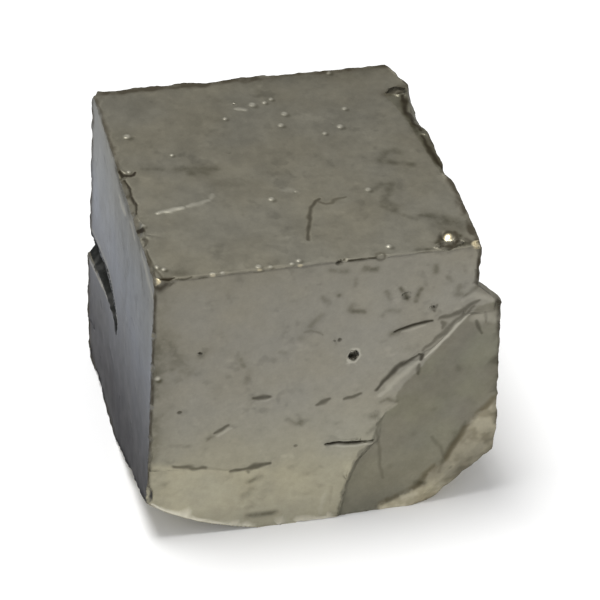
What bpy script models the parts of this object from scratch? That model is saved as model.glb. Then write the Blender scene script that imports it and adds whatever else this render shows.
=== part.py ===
"""A pyrite specimen: a squat cube crystal with a second crystal grown through its right side.

The cube stands on its base. X runs along its front face, Y away from the front and Z up, and the
origin is the centre of the base. Sizes below are in millimetres. The crystals are joined first, and
then what has broken off them is cut away: corners, splinters along the edges, a shallow flake from
the front, a gash in the left face, steps between layers of growth, pits and cracks.
"""

import math

import bmesh
import bpy
from mathutils import Matrix, Vector, noise

MM = 0.001

# The cube
WIDTH = 25.0
DEPTH = 24.0
HEIGHT = 26.0
EDGE_BEVEL = 0.1
LEFT = -WIDTH / 2
RIGHT = WIDTH / 2
FRONT = -DEPTH / 2
BACK = DEPTH / 2

# The second crystal leans outwards towards its foot: a low block, and a horn at its front
SECOND_FOOT = 15.8
SECOND_LEAN = math.radians(3.2)
SECOND_TURN = math.radians(1.6)
SECOND_BACK = 9.6
SECOND_TOP = 14.0
SECOND_FALL = 0.25
SECOND_ROOT = RIGHT - 3.0
HORN_BACK = -3.0
HORN_TOP = 22.6
RIDGE_START = (12.4, 22.35)
RIDGE_END = (14.5, 20.15)
RIDGE_WIDTH = 0.9

# The flake that left a shallow scar at the lower right of the front
SCAR_MIDDLE = (14.0, 7.0)
SCAR_LIP = 0.24
SCAR_DEPTH = 0.58

# How far a solid that cuts reaches clear of the face that it cuts
CLEAR = 1.0

COLOUR = (0.34, 0.32, 0.25, 1.0)
ROUGHNESS = 0.4
METALLIC = 1.0

TO_RIGHT = Vector((1, 0, 0))
TO_LEFT = Vector((-1, 0, 0))
TO_BACK = Vector((0, 1, 0))
TO_FRONT = Vector((0, -1, 0))
UP = Vector((0, 0, 1))
DOWN = Vector((0, 0, -1))
SEED_STEP = Vector((3.7, 1.9, 5.3))

# ---------------------------------------------------------------- places


def on_front(x, z, depth=0.0):
    return Vector((x, FRONT + depth, z))


def on_back(x, z, depth=0.0):
    return Vector((x, BACK - depth, z))


def on_left(y, z, depth=0.0):
    return Vector((LEFT + depth, y, z))


def on_right(y, z, depth=0.0):
    return Vector((RIGHT - depth, y, z))


def on_top(x, y, depth=0.0):
    return Vector((x, y, HEIGHT - depth))


def on_base(x, y, depth=0.0):
    return Vector((x, y, depth))


def on_second(y, z, depth=0.0):
    """A place on the second crystal's own side."""
    lean = math.tan(SECOND_LEAN) * z
    turn = math.tan(SECOND_TURN) * (y - FRONT)
    return Vector((SECOND_FOOT - lean - turn - depth, y, z))


def facing_of(first, second, third):
    """The direction that the plane through three points faces, away from the middle of the cube."""
    normal = (second - first).cross(third - first).normalized()
    outwards = first - UP * (HEIGHT / 2)
    return normal if normal.dot(outwards) > 0 else -normal


def ripple(place, seed):
    """Smooth noise, between about -0.7 and 0.7."""
    return noise.noise(place + seed * SEED_STEP)


def smooth_line(points, steps=3):
    """The points of a smooth curve through a few places."""
    line = []
    for place in range(len(points) - 1):
        before = points[max(place - 1, 0)]
        start = points[place]
        end = points[place + 1]
        after = points[min(place + 2, len(points) - 1)]
        for step in range(steps):
            t = step / steps
            slope = (end - before) * t
            bend = (2 * before - 5 * start + 4 * end - after) * t**2
            twist = (3 * start - before - 3 * end + after) * t**3
            line.append((2 * start + slope + bend + twist) / 2)
    return line + [points[-1]]


# ---------------------------------------------------------------- solids


def link(name, mesh, collection):
    """Puts a bmesh that was built in millimetres into a collection, as an object in metres."""
    bmesh.ops.recalc_face_normals(mesh, faces=mesh.faces)
    bmesh.ops.scale(mesh, vec=(MM, MM, MM), verts=mesh.verts)
    data = bpy.data.meshes.new(name)
    mesh.to_mesh(data)
    mesh.free()
    thing = bpy.data.objects.new(name, data)
    collection.objects.link(thing)
    return thing


def hidden(name, mesh, collection):
    """A solid that only shapes the crystal, shown as wire and left out of renders."""
    thing = link(name, mesh, collection)
    thing.display_type = "WIRE"
    thing.hide_render = True


def turn_to(mesh, facing, centre):
    turned = facing.to_track_quat("Z", "Y").to_matrix().to_4x4()
    bmesh.ops.transform(mesh, matrix=Matrix.Translation(centre) @ turned, verts=mesh.verts)


def loft(rows):
    """A closed solid through rows of points that all have the same length."""
    mesh = bmesh.new()
    rings = [[mesh.verts.new(point) for point in row] for row in rows]
    for before, after in zip(rings, rings[1:]):
        for place in range(len(before)):
            other = (place + 1) % len(before)
            mesh.faces.new((before[place], before[other], after[other], after[place]))
    mesh.faces.new(rings[0])
    mesh.faces.new(rings[-1][::-1])
    return mesh


def prism(outline, rise):
    return loft([outline, [point + rise for point in outline]])


def bevelled(mesh, width):
    bmesh.ops.bevel(mesh, geom=mesh.edges[:], offset=width, segments=1, affect="EDGES", profile=0.5)
    return mesh


def cut_off(mesh, through, facing):
    """Takes off what lies on the facing side of a plane, and closes the cut."""
    whole = mesh.verts[:] + mesh.edges[:] + mesh.faces[:]
    cut = bmesh.ops.bisect_plane(mesh, geom=whole, plane_co=through, plane_no=facing, clear_outer=True)
    rim = [item for item in cut["geom_cut"] if isinstance(item, bmesh.types.BMEdge)]
    bmesh.ops.contextual_create(mesh, geom=rim)


def lump(centre, radii, towards=UP, seed=0, knobbly=0.3):
    """A knobbly ball, which leaves a shell-shaped hollow where it is cut out."""
    knob = 1.6
    mesh = bmesh.new()
    bmesh.ops.create_icosphere(mesh, subdivisions=2, radius=1.0)
    for vert in mesh.verts:
        vert.co *= 1 + knobbly * ripple(vert.co * knob, seed)
    bmesh.ops.scale(mesh, vec=radii, verts=mesh.verts)
    turn_to(mesh, towards, centre)
    return mesh


def rough_slab(through, facing, size, rough=0.1, seed=0, cells=10, thick=7.0, bulge=0.0, spread=5.0):
    """A slab whose inner side is a broken surface that passes through a point and faces outwards.

    Roughness gives the break its facets, and a bulge leaves the stone swollen around that point.
    """
    facet = 1.4 * min(size) / cells
    mesh = bmesh.new()
    bmesh.ops.create_grid(mesh, x_segments=cells, y_segments=cells, size=0.5)
    for vert in mesh.verts:
        flat = Vector((vert.co.x * size[0], vert.co.y * size[1], 0))
        swell = bulge * math.exp(-((flat.length / spread) ** 2))
        vert.co = flat + UP * (swell + rough * ripple(flat / facet, seed))
    swept = bmesh.ops.extrude_face_region(mesh, geom=mesh.faces[:])
    for item in swept["geom"]:
        if isinstance(item, bmesh.types.BMVert):
            item.co.z = thick
    turn_to(mesh, facing, through)
    return mesh


def crack(points, inwards, width, depth, seed=0):
    """A thin wedge along a crooked line on a face, widest and deepest in its middle."""
    narrowest = 0.1
    swelling = 0.4
    crooked = 0.4
    rows = []
    for place, point in enumerate(points):
        ahead = points[min(place + 1, len(points) - 1)] - points[max(place - 1, 0)]
        across = ahead.cross(inwards).normalized() * width
        arch = math.sin(math.pi * (place + 0.4) / len(points))
        half = across * (narrowest + swelling * arch)
        middle = point + across * crooked * ripple(UP * place * 1.7, seed)
        rows.append((middle - half - inwards, middle + inwards * depth * arch, middle + half - inwards))
    return loft(rows)


def worn_edge(start, end, first, second, usual=0.12, bites=(), seed=0):
    """What has splintered off an edge.

    The first and second directions run from the edge into its two faces. The bites are the larger
    splinters: how far along the edge, how long, and how deep into each of the two faces.
    """
    step = 0.75
    uneven = 1.1
    hollowed = 0.12
    least = 0.03
    run = end - start
    steps = round(run.length / step)
    rows = []
    for place in range(steps + 1):
        along = run.length * place / steps
        edge = start.lerp(end, place / steps)
        deep_first = usual * (0.75 + uneven * ripple(TO_RIGHT * along, seed))
        deep_second = usual * (0.75 + uneven * ripple(TO_BACK * along, seed))
        for middle, length, into_first, into_second in bites:
            share = 1 - (2 * (along - middle) / length) ** 2
            if share > 0:
                deep_first += into_first * share**0.7
                deep_second += into_second * share**0.7
        one = first * max(deep_first, least)
        two = second * max(deep_second, least)
        middle = (one + two) * (0.5 + hollowed * ripple(UP * along, seed))
        beyond = (one - two) * 1.5
        outside = (first + second) * -1.5
        rows.append([edge + corner for corner in (one + beyond, middle, two - beyond, outside)])
    return loft(rows)


# ---------------------------------------------------------------- the crystals


def cube_crystal(collection):
    mesh = bmesh.new()
    bmesh.ops.create_cube(mesh, size=1.0)
    bmesh.ops.scale(mesh, vec=(WIDTH, DEPTH, HEIGHT), verts=mesh.verts)
    bmesh.ops.translate(mesh, vec=(0, 0, HEIGHT / 2), verts=mesh.verts)
    return link("pyrite_crystal", bevelled(mesh, EDGE_BEVEL), collection)


def second_block(front, back, foot, top, inset=0.0):
    """A block rooted in the cube's right side, whose outer face is the second crystal's own."""
    corners = [(front, foot), (front, top), (back, top - SECOND_FALL), (back, foot)]
    inner = [Vector((SECOND_ROOT, y, z)) for y, z in corners]
    outer = [on_second(y, z, inset) for y, z in corners]
    return bevelled(loft([inner, outer]), EDGE_BEVEL)


def second_crystal(collection):
    """A low block, and at its front a horn with a narrow facet on top that falls away behind."""
    front = FRONT + 0.08
    foot = 0.15
    hair = 0.04
    hidden("second_crystal", second_block(front, SECOND_BACK, foot, SECOND_TOP), collection)
    horn = second_block(front + hair, HORN_BACK, SECOND_TOP - 2, HORN_TOP, inset=hair)
    ridge_start = on_front(*RIDGE_START, RIDGE_WIDTH)
    ridge_end = on_front(*RIDGE_END, RIDGE_WIDTH)
    facet_foot = on_front(RIDGE_START[0], RIDGE_START[1] - 0.25)
    fall_foot = on_front(RIDGE_START[0], RIDGE_START[1] - 3.75, RIDGE_WIDTH + 3)
    for third in (facet_foot, fall_foot):
        cut_off(horn, ridge_start, facing_of(ridge_start, ridge_end, third))
    hidden("horn", horn, collection)


def raised_layer(collection):
    """Below the gash the left face stands a little proud, most of all at the back edge."""
    proud = 0.2
    corners = [
        on_left(BACK - 0.03, 10.6, -proud),
        on_left(BACK - 0.03, 3.4, -proud * 0.6),
        on_left(6.5, 4.8, 0.05),
        on_left(2.2, 10.7, 0.05),
    ]
    inner = [Vector((LEFT + CLEAR, corner.y, corner.z)) for corner in corners]
    hidden("raised_layer", loft([inner, corners]), collection)


# ---------------------------------------------------------------- what has broken off


def front_left_corner(collection):
    """The lower front left corner is broken off in one swollen surface."""
    ends = (on_base(LEFT, 0.8), on_front(LEFT, 4.4), on_front(-0.3, 0.0))
    middle = (ends[1] + ends[2]) / 2
    size = (34, 34)
    mesh = rough_slab(middle, facing_of(*ends), size, rough=0.16, seed=1, cells=22, bulge=1.35, spread=6.5)
    hidden("front_left_corner", mesh, collection)


def lower_right_edge(collection):
    """The second crystal's lower edge is broken away, less towards the back."""
    ends = (on_front(10.4, 0.0), on_front(16.0, 4.9), on_base(14.0, SECOND_BACK))
    middle = (ends[0] + ends[1] + ends[2]) / 3
    mesh = rough_slab(middle, facing_of(*ends), (34, 14), rough=0.35, seed=2, cells=16)
    hidden("lower_right_edge", mesh, collection)


def lower_right_bevel(collection):
    """Two bright facets that lead from the front round to the broken lower edge."""
    tilt = math.radians(19)
    facets = {
        "bevel_above": (on_front(10.9, 4.4), on_front(14.8, 9.8)),
        "bevel_below": (on_front(7.4, 0.1), on_front(11.3, 4.7)),
    }
    for seed, (name, (first, second)) in enumerate(facets.items(), start=3):
        outwards = (second - first).normalized().cross(TO_FRONT)
        facing = outwards * math.sin(tilt) + TO_FRONT * math.cos(tilt)
        mesh = rough_slab((first + second) / 2, facing, (11, 11), rough=0.14, seed=seed, thick=5.0)
        hidden(name, mesh, collection)


def top_right_splinter(collection):
    """A long splinter is gone from the top right edge, deepest at its back end."""
    bites = ((9.3, 2.4, 0.3, 0.9), (12.8, 8.5, 0.55, 0.05), (18.0, 6.4, 0.85, 1.5))
    mesh = worn_edge(on_top(RIGHT, FRONT), on_top(RIGHT, BACK), TO_LEFT, DOWN, 0.1, bites, seed=6)
    hidden("top_right_splinter", mesh, collection)
    mesh = lump(on_top(11.1, 8.2, 0.1), (0.9, 0.55, 0.5), seed=7, knobbly=0.8)
    hidden("splinter_end", mesh, collection)
    facing = Vector((0.9, 0.32, 0.3)).normalized()
    mesh = rough_slab(on_top(11.6, 10.6), facing, (7, 6), rough=0.12, seed=8, cells=6, thick=3.0)
    hidden("back_right_corner", mesh, collection)


def scar(collection):
    """A flake has left a very shallow hollow, with a bright lip that is widest at its upper left."""
    rim = [
        (2.6, -2.0), (2.8, 0.6), (3.4, 4.6), (4.6, 7.0), (5.3, 7.8), (5.3, 9.6), (4.9, 11.5), (5.3, 13.0),
        (6.4, 14.7), (8.2, 16.2), (10.0, 17.9), (12.6, 20.6), (20.0, 21.0), (24.0, 7.0), (20.0, -3.0),
    ]
    floor = [
        (2.9, -2.0), (3.1, 0.6), (3.8, 4.5), (5.0, 6.8), (5.8, 7.7), (5.9, 9.6), (6.9, 11.5), (7.5, 13.3),
        (8.5, 14.8), (9.6, 16.4), (11.0, 18.0), (13.2, 20.1), (19.0, 20.0), (22.0, 7.0), (19.0, -2.5),
    ]
    outer = smooth_line([on_front(*place) for place in rim + rim[:1]])[:-1]
    inner = smooth_line([on_front(*place) for place in floor + floor[:1]])[:-1]
    rows = [
        [point + TO_FRONT * CLEAR for point in outer],
        outer,
        [point + TO_BACK * SCAR_LIP for point in inner],
    ]
    middle = on_front(*SCAR_MIDDLE)
    for share in (0.25, 0.5, 0.75, 0.97):
        depth = SCAR_LIP + (SCAR_DEPTH - SCAR_LIP) * math.sin(share * math.pi / 2)
        row = [point.lerp(middle, share) + TO_BACK * depth for point in inner]
        rows.append([place + TO_BACK * 0.05 * ripple(place * 0.35, 0) for place in row])
    hidden("scar", loft(rows), collection)


def gash(collection):
    """A deep wedge-shaped gash runs into the left face from the back edge, and dies out at a point."""
    sections = (
        (BACK + 0.6, 10.1, 12.2, 0.3),
        (10.8, 10.25, 12.5, 0.7),
        (9.6, 10.5, 12.9, 1.0),
        (7.5, 11.0, 13.35, 1.2),
        (4.7, 11.3, 13.75, 1.1),
        (2.7, 11.2, 13.2, 0.75),
        (1.4, 11.1, 12.4, 0.3),
        (0.5, 11.6, 12.0, -0.2),
    )
    rows = []
    for y, low, high, depth in sections:
        quarter = (high - low) / 4
        rows.append((
            on_left(y, low, -CLEAR),
            on_left(y, low),
            on_left(y, low + quarter, depth),
            on_left(y, high - quarter, depth * 0.8),
            on_left(y, high),
            on_left(y, high, -CLEAR),
        ))
    hidden("gash", loft(rows), collection)


def worn_edges(collection):
    """Small splinters along every other edge of both crystals."""
    horn = (on_second(FRONT + 0.5, 3.0), on_second(FRONT + 0.5, 19.8))
    ledge = (on_second(-6.0, SECOND_TOP), on_second(SECOND_BACK, SECOND_TOP - SECOND_FALL))
    second_back = (on_second(SECOND_BACK, 0.0), on_second(SECOND_BACK, SECOND_TOP))
    edges = {
        "top_front": (on_top(LEFT, FRONT), on_top(RIGHT, FRONT), TO_BACK, DOWN, 0.09),
        "top_left": (on_top(LEFT, FRONT), on_top(LEFT, BACK), TO_RIGHT, DOWN, 0.1),
        "top_back": (on_top(LEFT, BACK), on_top(RIGHT, BACK), TO_FRONT, DOWN, 0.1),
        "front_left": (on_front(LEFT, 0), on_front(LEFT, HEIGHT), TO_RIGHT, TO_BACK, 0.12),
        "front_right": (on_front(RIGHT, HORN_TOP - 0.2), on_front(RIGHT, HEIGHT), TO_LEFT, TO_BACK, 0.12),
        "back_left": (on_back(LEFT, 0), on_back(LEFT, HEIGHT), TO_RIGHT, TO_FRONT, 0.1),
        "back_right": (on_back(RIGHT, 0), on_back(RIGHT, HEIGHT), TO_LEFT, TO_FRONT, 0.2),
        "base_front": (on_base(LEFT, FRONT), on_base(RIGHT, FRONT), TO_BACK, UP, 0.12),
        "base_left": (on_base(LEFT, FRONT), on_base(LEFT, BACK), TO_RIGHT, UP, 0.12),
        "base_back": (on_base(LEFT, BACK), on_base(RIGHT, BACK), TO_FRONT, UP, 0.2),
        "second_front": (*horn, TO_LEFT, TO_BACK, 0.14),
        "second_top": (*ledge, TO_LEFT, DOWN, 0.25),
        "second_back": (*second_back, TO_LEFT, TO_FRONT, 0.25),
    }
    splinters = {
        "top_front": (
            (0.9, 1.3, 0.25, 0.3),
            (3.2, 1.4, 0.2, 0.15),
            (5.0, 1.2, 0.25, 0.15),
            (14.5, 0.9, 0.3, 0.15),
            (17.4, 1.0, 0.3, 0.2),
        ),
        "top_left": (
            (1.8, 1.5, 0.2, 0.2),
            (4.8, 1.7, 0.4, 0.35),
            (6.8, 1.9, 0.5, 0.5),
            (9.2, 1.8, 0.3, 0.4),
            (12.95, 1.4, 0.75, 0.35),
            (21.3, 1.8, 0.2, 0.3),
        ),
        "front_left": (
            (9.0, 1.2, 0.15, 0.1),
            (13.9, 1.0, 0.15, 0.1),
            (16.9, 1.6, 0.3, 0.1),
            (20.6, 1.2, 0.15, 0.1),
        ),
        "back_left": ((17.5, 3.5, 0.5, 0.4), (8.0, 2.5, 0.3, 0.4)),
        "back_right": ((22.0, 5.0, 0.8, 1.1), (9.0, 4.0, 0.5, 0.6)),
        "top_back": ((9.5, 3.0, 0.25, 0.4), (19.0, 4.0, 0.2, 0.5)),
        "base_back": ((6.0, 4.5, 0.9, 0.8), (19.0, 6.0, 1.2, 0.9)),
        "base_left": ((19.0, 4.0, 0.4, 0.7),),
        "second_top": ((4.0, 3.0, 0.3, 0.5), (11.0, 2.4, 0.5, 0.3)),
        "second_back": ((6.0, 3.0, 0.4, 0.5), (11.5, 2.0, 0.5, 0.3)),
    }
    for seed, (name, (start, end, first, second, usual)) in enumerate(edges.items(), start=10):
        mesh = worn_edge(start, end, first, second, usual, splinters.get(name, ()), seed)
        hidden(name, mesh, collection)


def corners(collection):
    """Knocks at the corners, and two hollows in the top edge where fresh metal shows."""
    knocks = {
        "top_front_left": (on_top(LEFT, FRONT, 0.05), (0.42, 0.42, 0.5), 0.3),
        "top_back_right": (on_top(RIGHT, BACK), (1.5, 1.0, 1.8), 0.3),
        "top_back_left": (on_top(LEFT, BACK), (0.45, 0.6, 0.7), 0.3),
        "bright_hollow": (on_top(9.9, FRONT + 0.45), (0.8, 0.5, 0.36), 0.7),
        "bright_hollow_end": (on_top(10.9, FRONT + 0.7), (0.5, 0.35, 0.3), 0.7),
        "bright_corner": (on_top(RIGHT - 0.2, FRONT + 0.25), (0.45, 0.4, 0.4), 0.5),
        "base_back_right": (on_base(RIGHT - 0.6, BACK - 0.3), (3.2, 2.4, 2.6), 0.3),
        "base_back_left": (on_base(LEFT, BACK), (1.2, 1.6, 1.0), 0.3),
        "front_left_chip": (on_front(LEFT, 4.6), (0.45, 0.6, 1.0), 0.3),
    }
    for seed, (name, (centre, radii, knobbly)) in enumerate(knocks.items(), start=30):
        hidden(name, lump(centre, radii, seed=seed, knobbly=knobbly), collection)


def layer_edges(collection):
    """Steps a tenth of a millimetre or more high, where a layer of growth stops short."""
    foot = [
        (-13.0, 7.4), (-8.9, 7.0), (-5.0, 6.2), (-2.6, 6.4), (0.4, 5.3), (2.4, 5.6), (4.0, 3.0), (4.0, -1.0),
        (-13.0, -1.0),
    ]
    back_low = [
        (-13.0, 9.2), (-6.0, 9.4), (-4.3, 8.8), (-4.1, 6.7), (4.6, 6.5), (7.3, 6.9), (7.5, 3.2), (14.0, 3.0),
        (14.0, -1.0), (-13.0, -1.0),
    ]
    back_high = [
        (1.4, 27.0), (1.3, 21.4), (2.2, 20.9), (5.1, 21.2), (5.3, 15.9), (9.0, 15.6), (14.0, 15.9),
        (14.0, 27.0),
    ]
    back_side = [(-13.0, 22.3), (-9.4, 22.5), (-8.4, 21.7), (-8.2, 15.2), (-9.0, 14.1), (-13.0, 14.0)]
    right_high = [
        (-2.5, 27.0), (-2.3, 20.3), (-1.2, 19.4), (3.4, 19.5), (3.7, 16.8), (8.0, 16.5), (13.0, 16.8),
        (13.0, 27.0),
    ]
    right_low = [
        (-4.0, 8.1), (0.6, 8.3), (1.2, 7.2), (5.6, 7.4), (5.9, 4.8), (11.0, 4.6), (11.0, -1.0), (-4.0, -1.0),
    ]
    layers = {
        "front_foot": (foot, on_front, TO_FRONT, 0.1),
        "back_low": (back_low, on_back, TO_BACK, 0.3),
        "back_high": (back_high, on_back, TO_BACK, 0.22),
        "back_side": (back_side, on_back, TO_BACK, 0.14),
        "right_high": (right_high, on_right, TO_RIGHT, 0.3),
        "second_low": (right_low, on_second, TO_RIGHT, 0.3),
    }
    for name, (outline, on_face, outwards, depth) in layers.items():
        mesh = prism([on_face(*place, depth) for place in outline], outwards * (depth + CLEAR))
        hidden(name, mesh, collection)


def pits(collection):
    """Round holes in the faces: the place, the radius, how deep, and the way that the hole faces."""
    squash = 0.85
    holes = {
        "front_hole": (on_front(3.1, 16.65), 0.42, 0.55, TO_FRONT),
        "front_pit": (on_front(1.6, 18.3), 0.22, 0.2, TO_FRONT),
        "front_dent_left": (on_front(-8.8, 18.5), 0.3, 0.14, TO_FRONT),
        "front_dent_high": (on_front(6.9, 21.9), 0.42, 0.16, TO_FRONT),
        "front_dent_right": (on_front(9.1, 20.5), 0.34, 0.14, TO_FRONT),
        "back_hole": (on_back(-5.6, 17.4), 0.8, 0.5, TO_BACK),
        "back_pit": (on_back(4.1, 12.3), 0.45, 0.3, TO_BACK),
        "right_pit": (on_right(5.8, 21.8), 0.6, 0.6, TO_RIGHT),
        "top_pit": (on_top(-1.9, 8.6), 0.2, 0.12, UP),
    }
    for seed, (name, (centre, radius, depth, outwards)) in enumerate(holes.items(), start=50):
        hidden(name, lump(centre, (radius, radius * squash, depth), outwards, seed), collection)


def cracks(collection):
    """Thin cracks in the front and the back: the way each runs, its width and its depth."""
    dark = [(1.4, 8.3), (2.6, 8.1), (3.8, 8.05), (5.3, 7.8)]
    crescent = [(5.1, 12.8), (6.0, 14.2), (7.1, 15.3), (8.5, 16.2)]
    groove = [(6.2, 18.4), (8.5, 19.2), (10.9, 19.5), (12.2, 20.4)]
    foot = [(-9.0, 7.3), (-7.9, 7.15), (-6.6, 6.8)]
    short = [(2.1, 12.0), (3.3, 12.35), (4.5, 12.9)]
    behind = [(-9.6, 4.5), (-4.5, 5.6), (1.5, 4.9), (5.0, 5.4)]
    lines = {
        "dark_crack": (dark, on_front, TO_BACK, 0.42, 0.6),
        "crescent": (crescent, on_front, TO_BACK, 0.4, 0.3),
        "groove": (groove, on_front, TO_BACK, 0.32, 0.2),
        "foot_crack": (foot, on_front, TO_BACK, 0.26, 0.2),
        "short_crack": (short, on_front, TO_BACK, 0.22, 0.18),
        "back_crack": (behind, on_back, TO_FRONT, 0.35, 0.6),
    }
    for seed, (name, (places, on_face, inwards, width, depth)) in enumerate(lines.items(), start=70):
        points = smooth_line([on_face(*place) for place in places])
        hidden(name, crack(points, inwards, width, depth, seed), collection)


# ---------------------------------------------------------------- build


def clear_scene():
    for thing in list(bpy.data.objects):
        bpy.data.objects.remove(thing)


def new_collection(name):
    collection = bpy.data.collections.new(name)
    bpy.context.scene.collection.children.link(collection)
    return collection


def combine(thing, operation, collection):
    """Joins everything in a collection to the crystal, or cuts it away."""
    modifier = thing.modifiers.new(collection.name, "BOOLEAN")
    modifier.operation = operation
    modifier.operand_type = "COLLECTION"
    modifier.collection = collection
    modifier.solver = "EXACT"


def pyrite():
    material = bpy.data.materials.new("pyrite")
    material.use_nodes = True
    shader = material.node_tree.nodes["Principled BSDF"]
    shader.inputs["Base Color"].default_value = COLOUR
    shader.inputs["Roughness"].default_value = ROUGHNESS
    shader.inputs["Metallic"].default_value = METALLIC
    return material


clear_scene()
crystal = cube_crystal(bpy.context.scene.collection)
crystal.data.materials.append(pyrite())

grown = new_collection("grown")
second_crystal(grown)
raised_layer(grown)

broken = new_collection("broken")
front_left_corner(broken)
lower_right_edge(broken)
lower_right_bevel(broken)
top_right_splinter(broken)
scar(broken)
gash(broken)
worn_edges(broken)
corners(broken)
layer_edges(broken)
pits(broken)
cracks(broken)

combine(crystal, "UNION", grown)
combine(crystal, "DIFFERENCE", broken)
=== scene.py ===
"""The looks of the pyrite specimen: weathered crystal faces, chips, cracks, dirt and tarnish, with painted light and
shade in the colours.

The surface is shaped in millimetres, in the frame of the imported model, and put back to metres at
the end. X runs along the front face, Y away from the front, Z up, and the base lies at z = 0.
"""

import itertools
import math

import bpy
import numpy as np
from mathutils import Matrix, Vector


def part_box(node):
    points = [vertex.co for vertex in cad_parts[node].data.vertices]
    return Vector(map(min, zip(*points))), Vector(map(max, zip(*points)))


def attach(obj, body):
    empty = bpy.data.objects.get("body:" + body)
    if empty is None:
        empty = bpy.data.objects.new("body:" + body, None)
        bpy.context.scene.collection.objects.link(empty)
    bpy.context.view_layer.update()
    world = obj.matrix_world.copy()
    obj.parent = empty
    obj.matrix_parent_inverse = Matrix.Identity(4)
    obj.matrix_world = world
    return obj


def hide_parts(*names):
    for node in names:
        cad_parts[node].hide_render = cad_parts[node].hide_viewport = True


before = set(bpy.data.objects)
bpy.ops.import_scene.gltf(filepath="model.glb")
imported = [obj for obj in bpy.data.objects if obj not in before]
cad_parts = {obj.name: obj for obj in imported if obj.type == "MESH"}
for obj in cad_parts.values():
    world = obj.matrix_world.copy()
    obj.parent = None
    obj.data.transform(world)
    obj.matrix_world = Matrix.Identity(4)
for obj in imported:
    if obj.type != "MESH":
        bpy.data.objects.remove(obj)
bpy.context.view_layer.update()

NODE = "pyrite_crystal"
MM = 0.001

# The crystals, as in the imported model
LOW, HIGH = (np.array(corner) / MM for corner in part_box(NODE))
WIDTH = 25.0
LEFT = -WIDTH / 2
RIGHT = WIDTH / 2
FRONT = LOW[1]
BACK = HIGH[1]
HEIGHT = HIGH[2]
SECOND_PLANE = 15.6
SECOND_TOP = 14.0
SECOND_BACK = 9.6

# The fine mesh
VOXEL = 0.085
MOST_TRIANGLES = 196000
EVENNESS = 0.001
SHARP = math.radians(50)

# Each face: its axis, which way it faces along that axis, where it lies, and its two other axes
FACES = {
    "front": (1, -1, FRONT, 0, 2),
    "back": (1, 1, BACK, 0, 2),
    "left": (0, -1, LEFT, 1, 2),
    "right": (0, 1, RIGHT, 1, 2),
    "second": (0, 1, SECOND_PLANE, 1, 2),
    "top": (2, 1, HEIGHT, 0, 1),
    "ledge": (2, 1, SECOND_TOP, 0, 1),
    "base": (2, -1, 0.0, 0, 1),
}
INSET = 0.06
DEEPEST = {"second": 1.9, "back": 0.8, "right": 0.8, "ledge": 0.6}
USUAL_DEEPEST = 0.7
PROUDEST = 0.3

# ---------------------------------------------------------------- marks on the faces
# Places are (x, z) on the front, (x, y) on the top and (y, z) on the left, as the face's axes say.

# The broken flake's outline on the front: its left side from the top down, then round outside
SCAR = (
    (15.6, 20.6), (12.6, 20.0), (11.9, 18.9), (10.4, 17.0), (9.3, 15.4), (8.6, 14.3), (7.5, 13.0), (6.8, 11.8),
    (7.0, 10.9), (6.3, 10.3), (5.7, 9.7), (5.4, 8.9), (5.0, 7.5), (4.2, 6.8), (3.7, 5.5), (3.4, 3.9),
    (3.0, 2.6), (2.8, 0.7), (2.8, -1.0), (17.0, -1.0), (17.0, 20.6),
)
# The bright facets under it, down to the broken lower edge
FACETS = (
    (15.6, 10.2), (14.9, 10.1), (14.4, 9.4), (13.6, 8.6), (12.8, 7.5), (12.5, 6.6), (11.8, 5.3), (11.4, 4.3),
    (10.6, 3.7), (9.9, 3.0), (9.4, 2.0), (8.4, 1.4), (7.0, 0.9), (6.2, 0.5), (6.0, -1.0), (17.0, -1.0),
)
# The chipped strip of the top face, along its right edge
STRIP = (
    (13.5, 9.4), (11.5, 8.7), (10.4, 8.2), (10.1, 7.8), (10.2, 7.1), (10.55, 6.2), (10.9, 4.3), (11.15, 2.0),
    (11.4, -0.1), (11.75, -2.8), (13.5, -3.4),
)
# The gash's mouth on the left face
GASH = (
    (12.6, 12.3), (10.8, 12.6), (9.6, 13.0), (7.5, 13.4), (4.7, 13.8), (2.7, 13.25), (1.3, 12.4), (0.9, 11.7),
    (1.0, 10.2), (1.7, 10.2), (2.0, 11.1), (2.7, 11.2), (4.7, 11.25), (7.5, 10.95), (9.6, 10.45), (12.6, 10.05),
)

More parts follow.
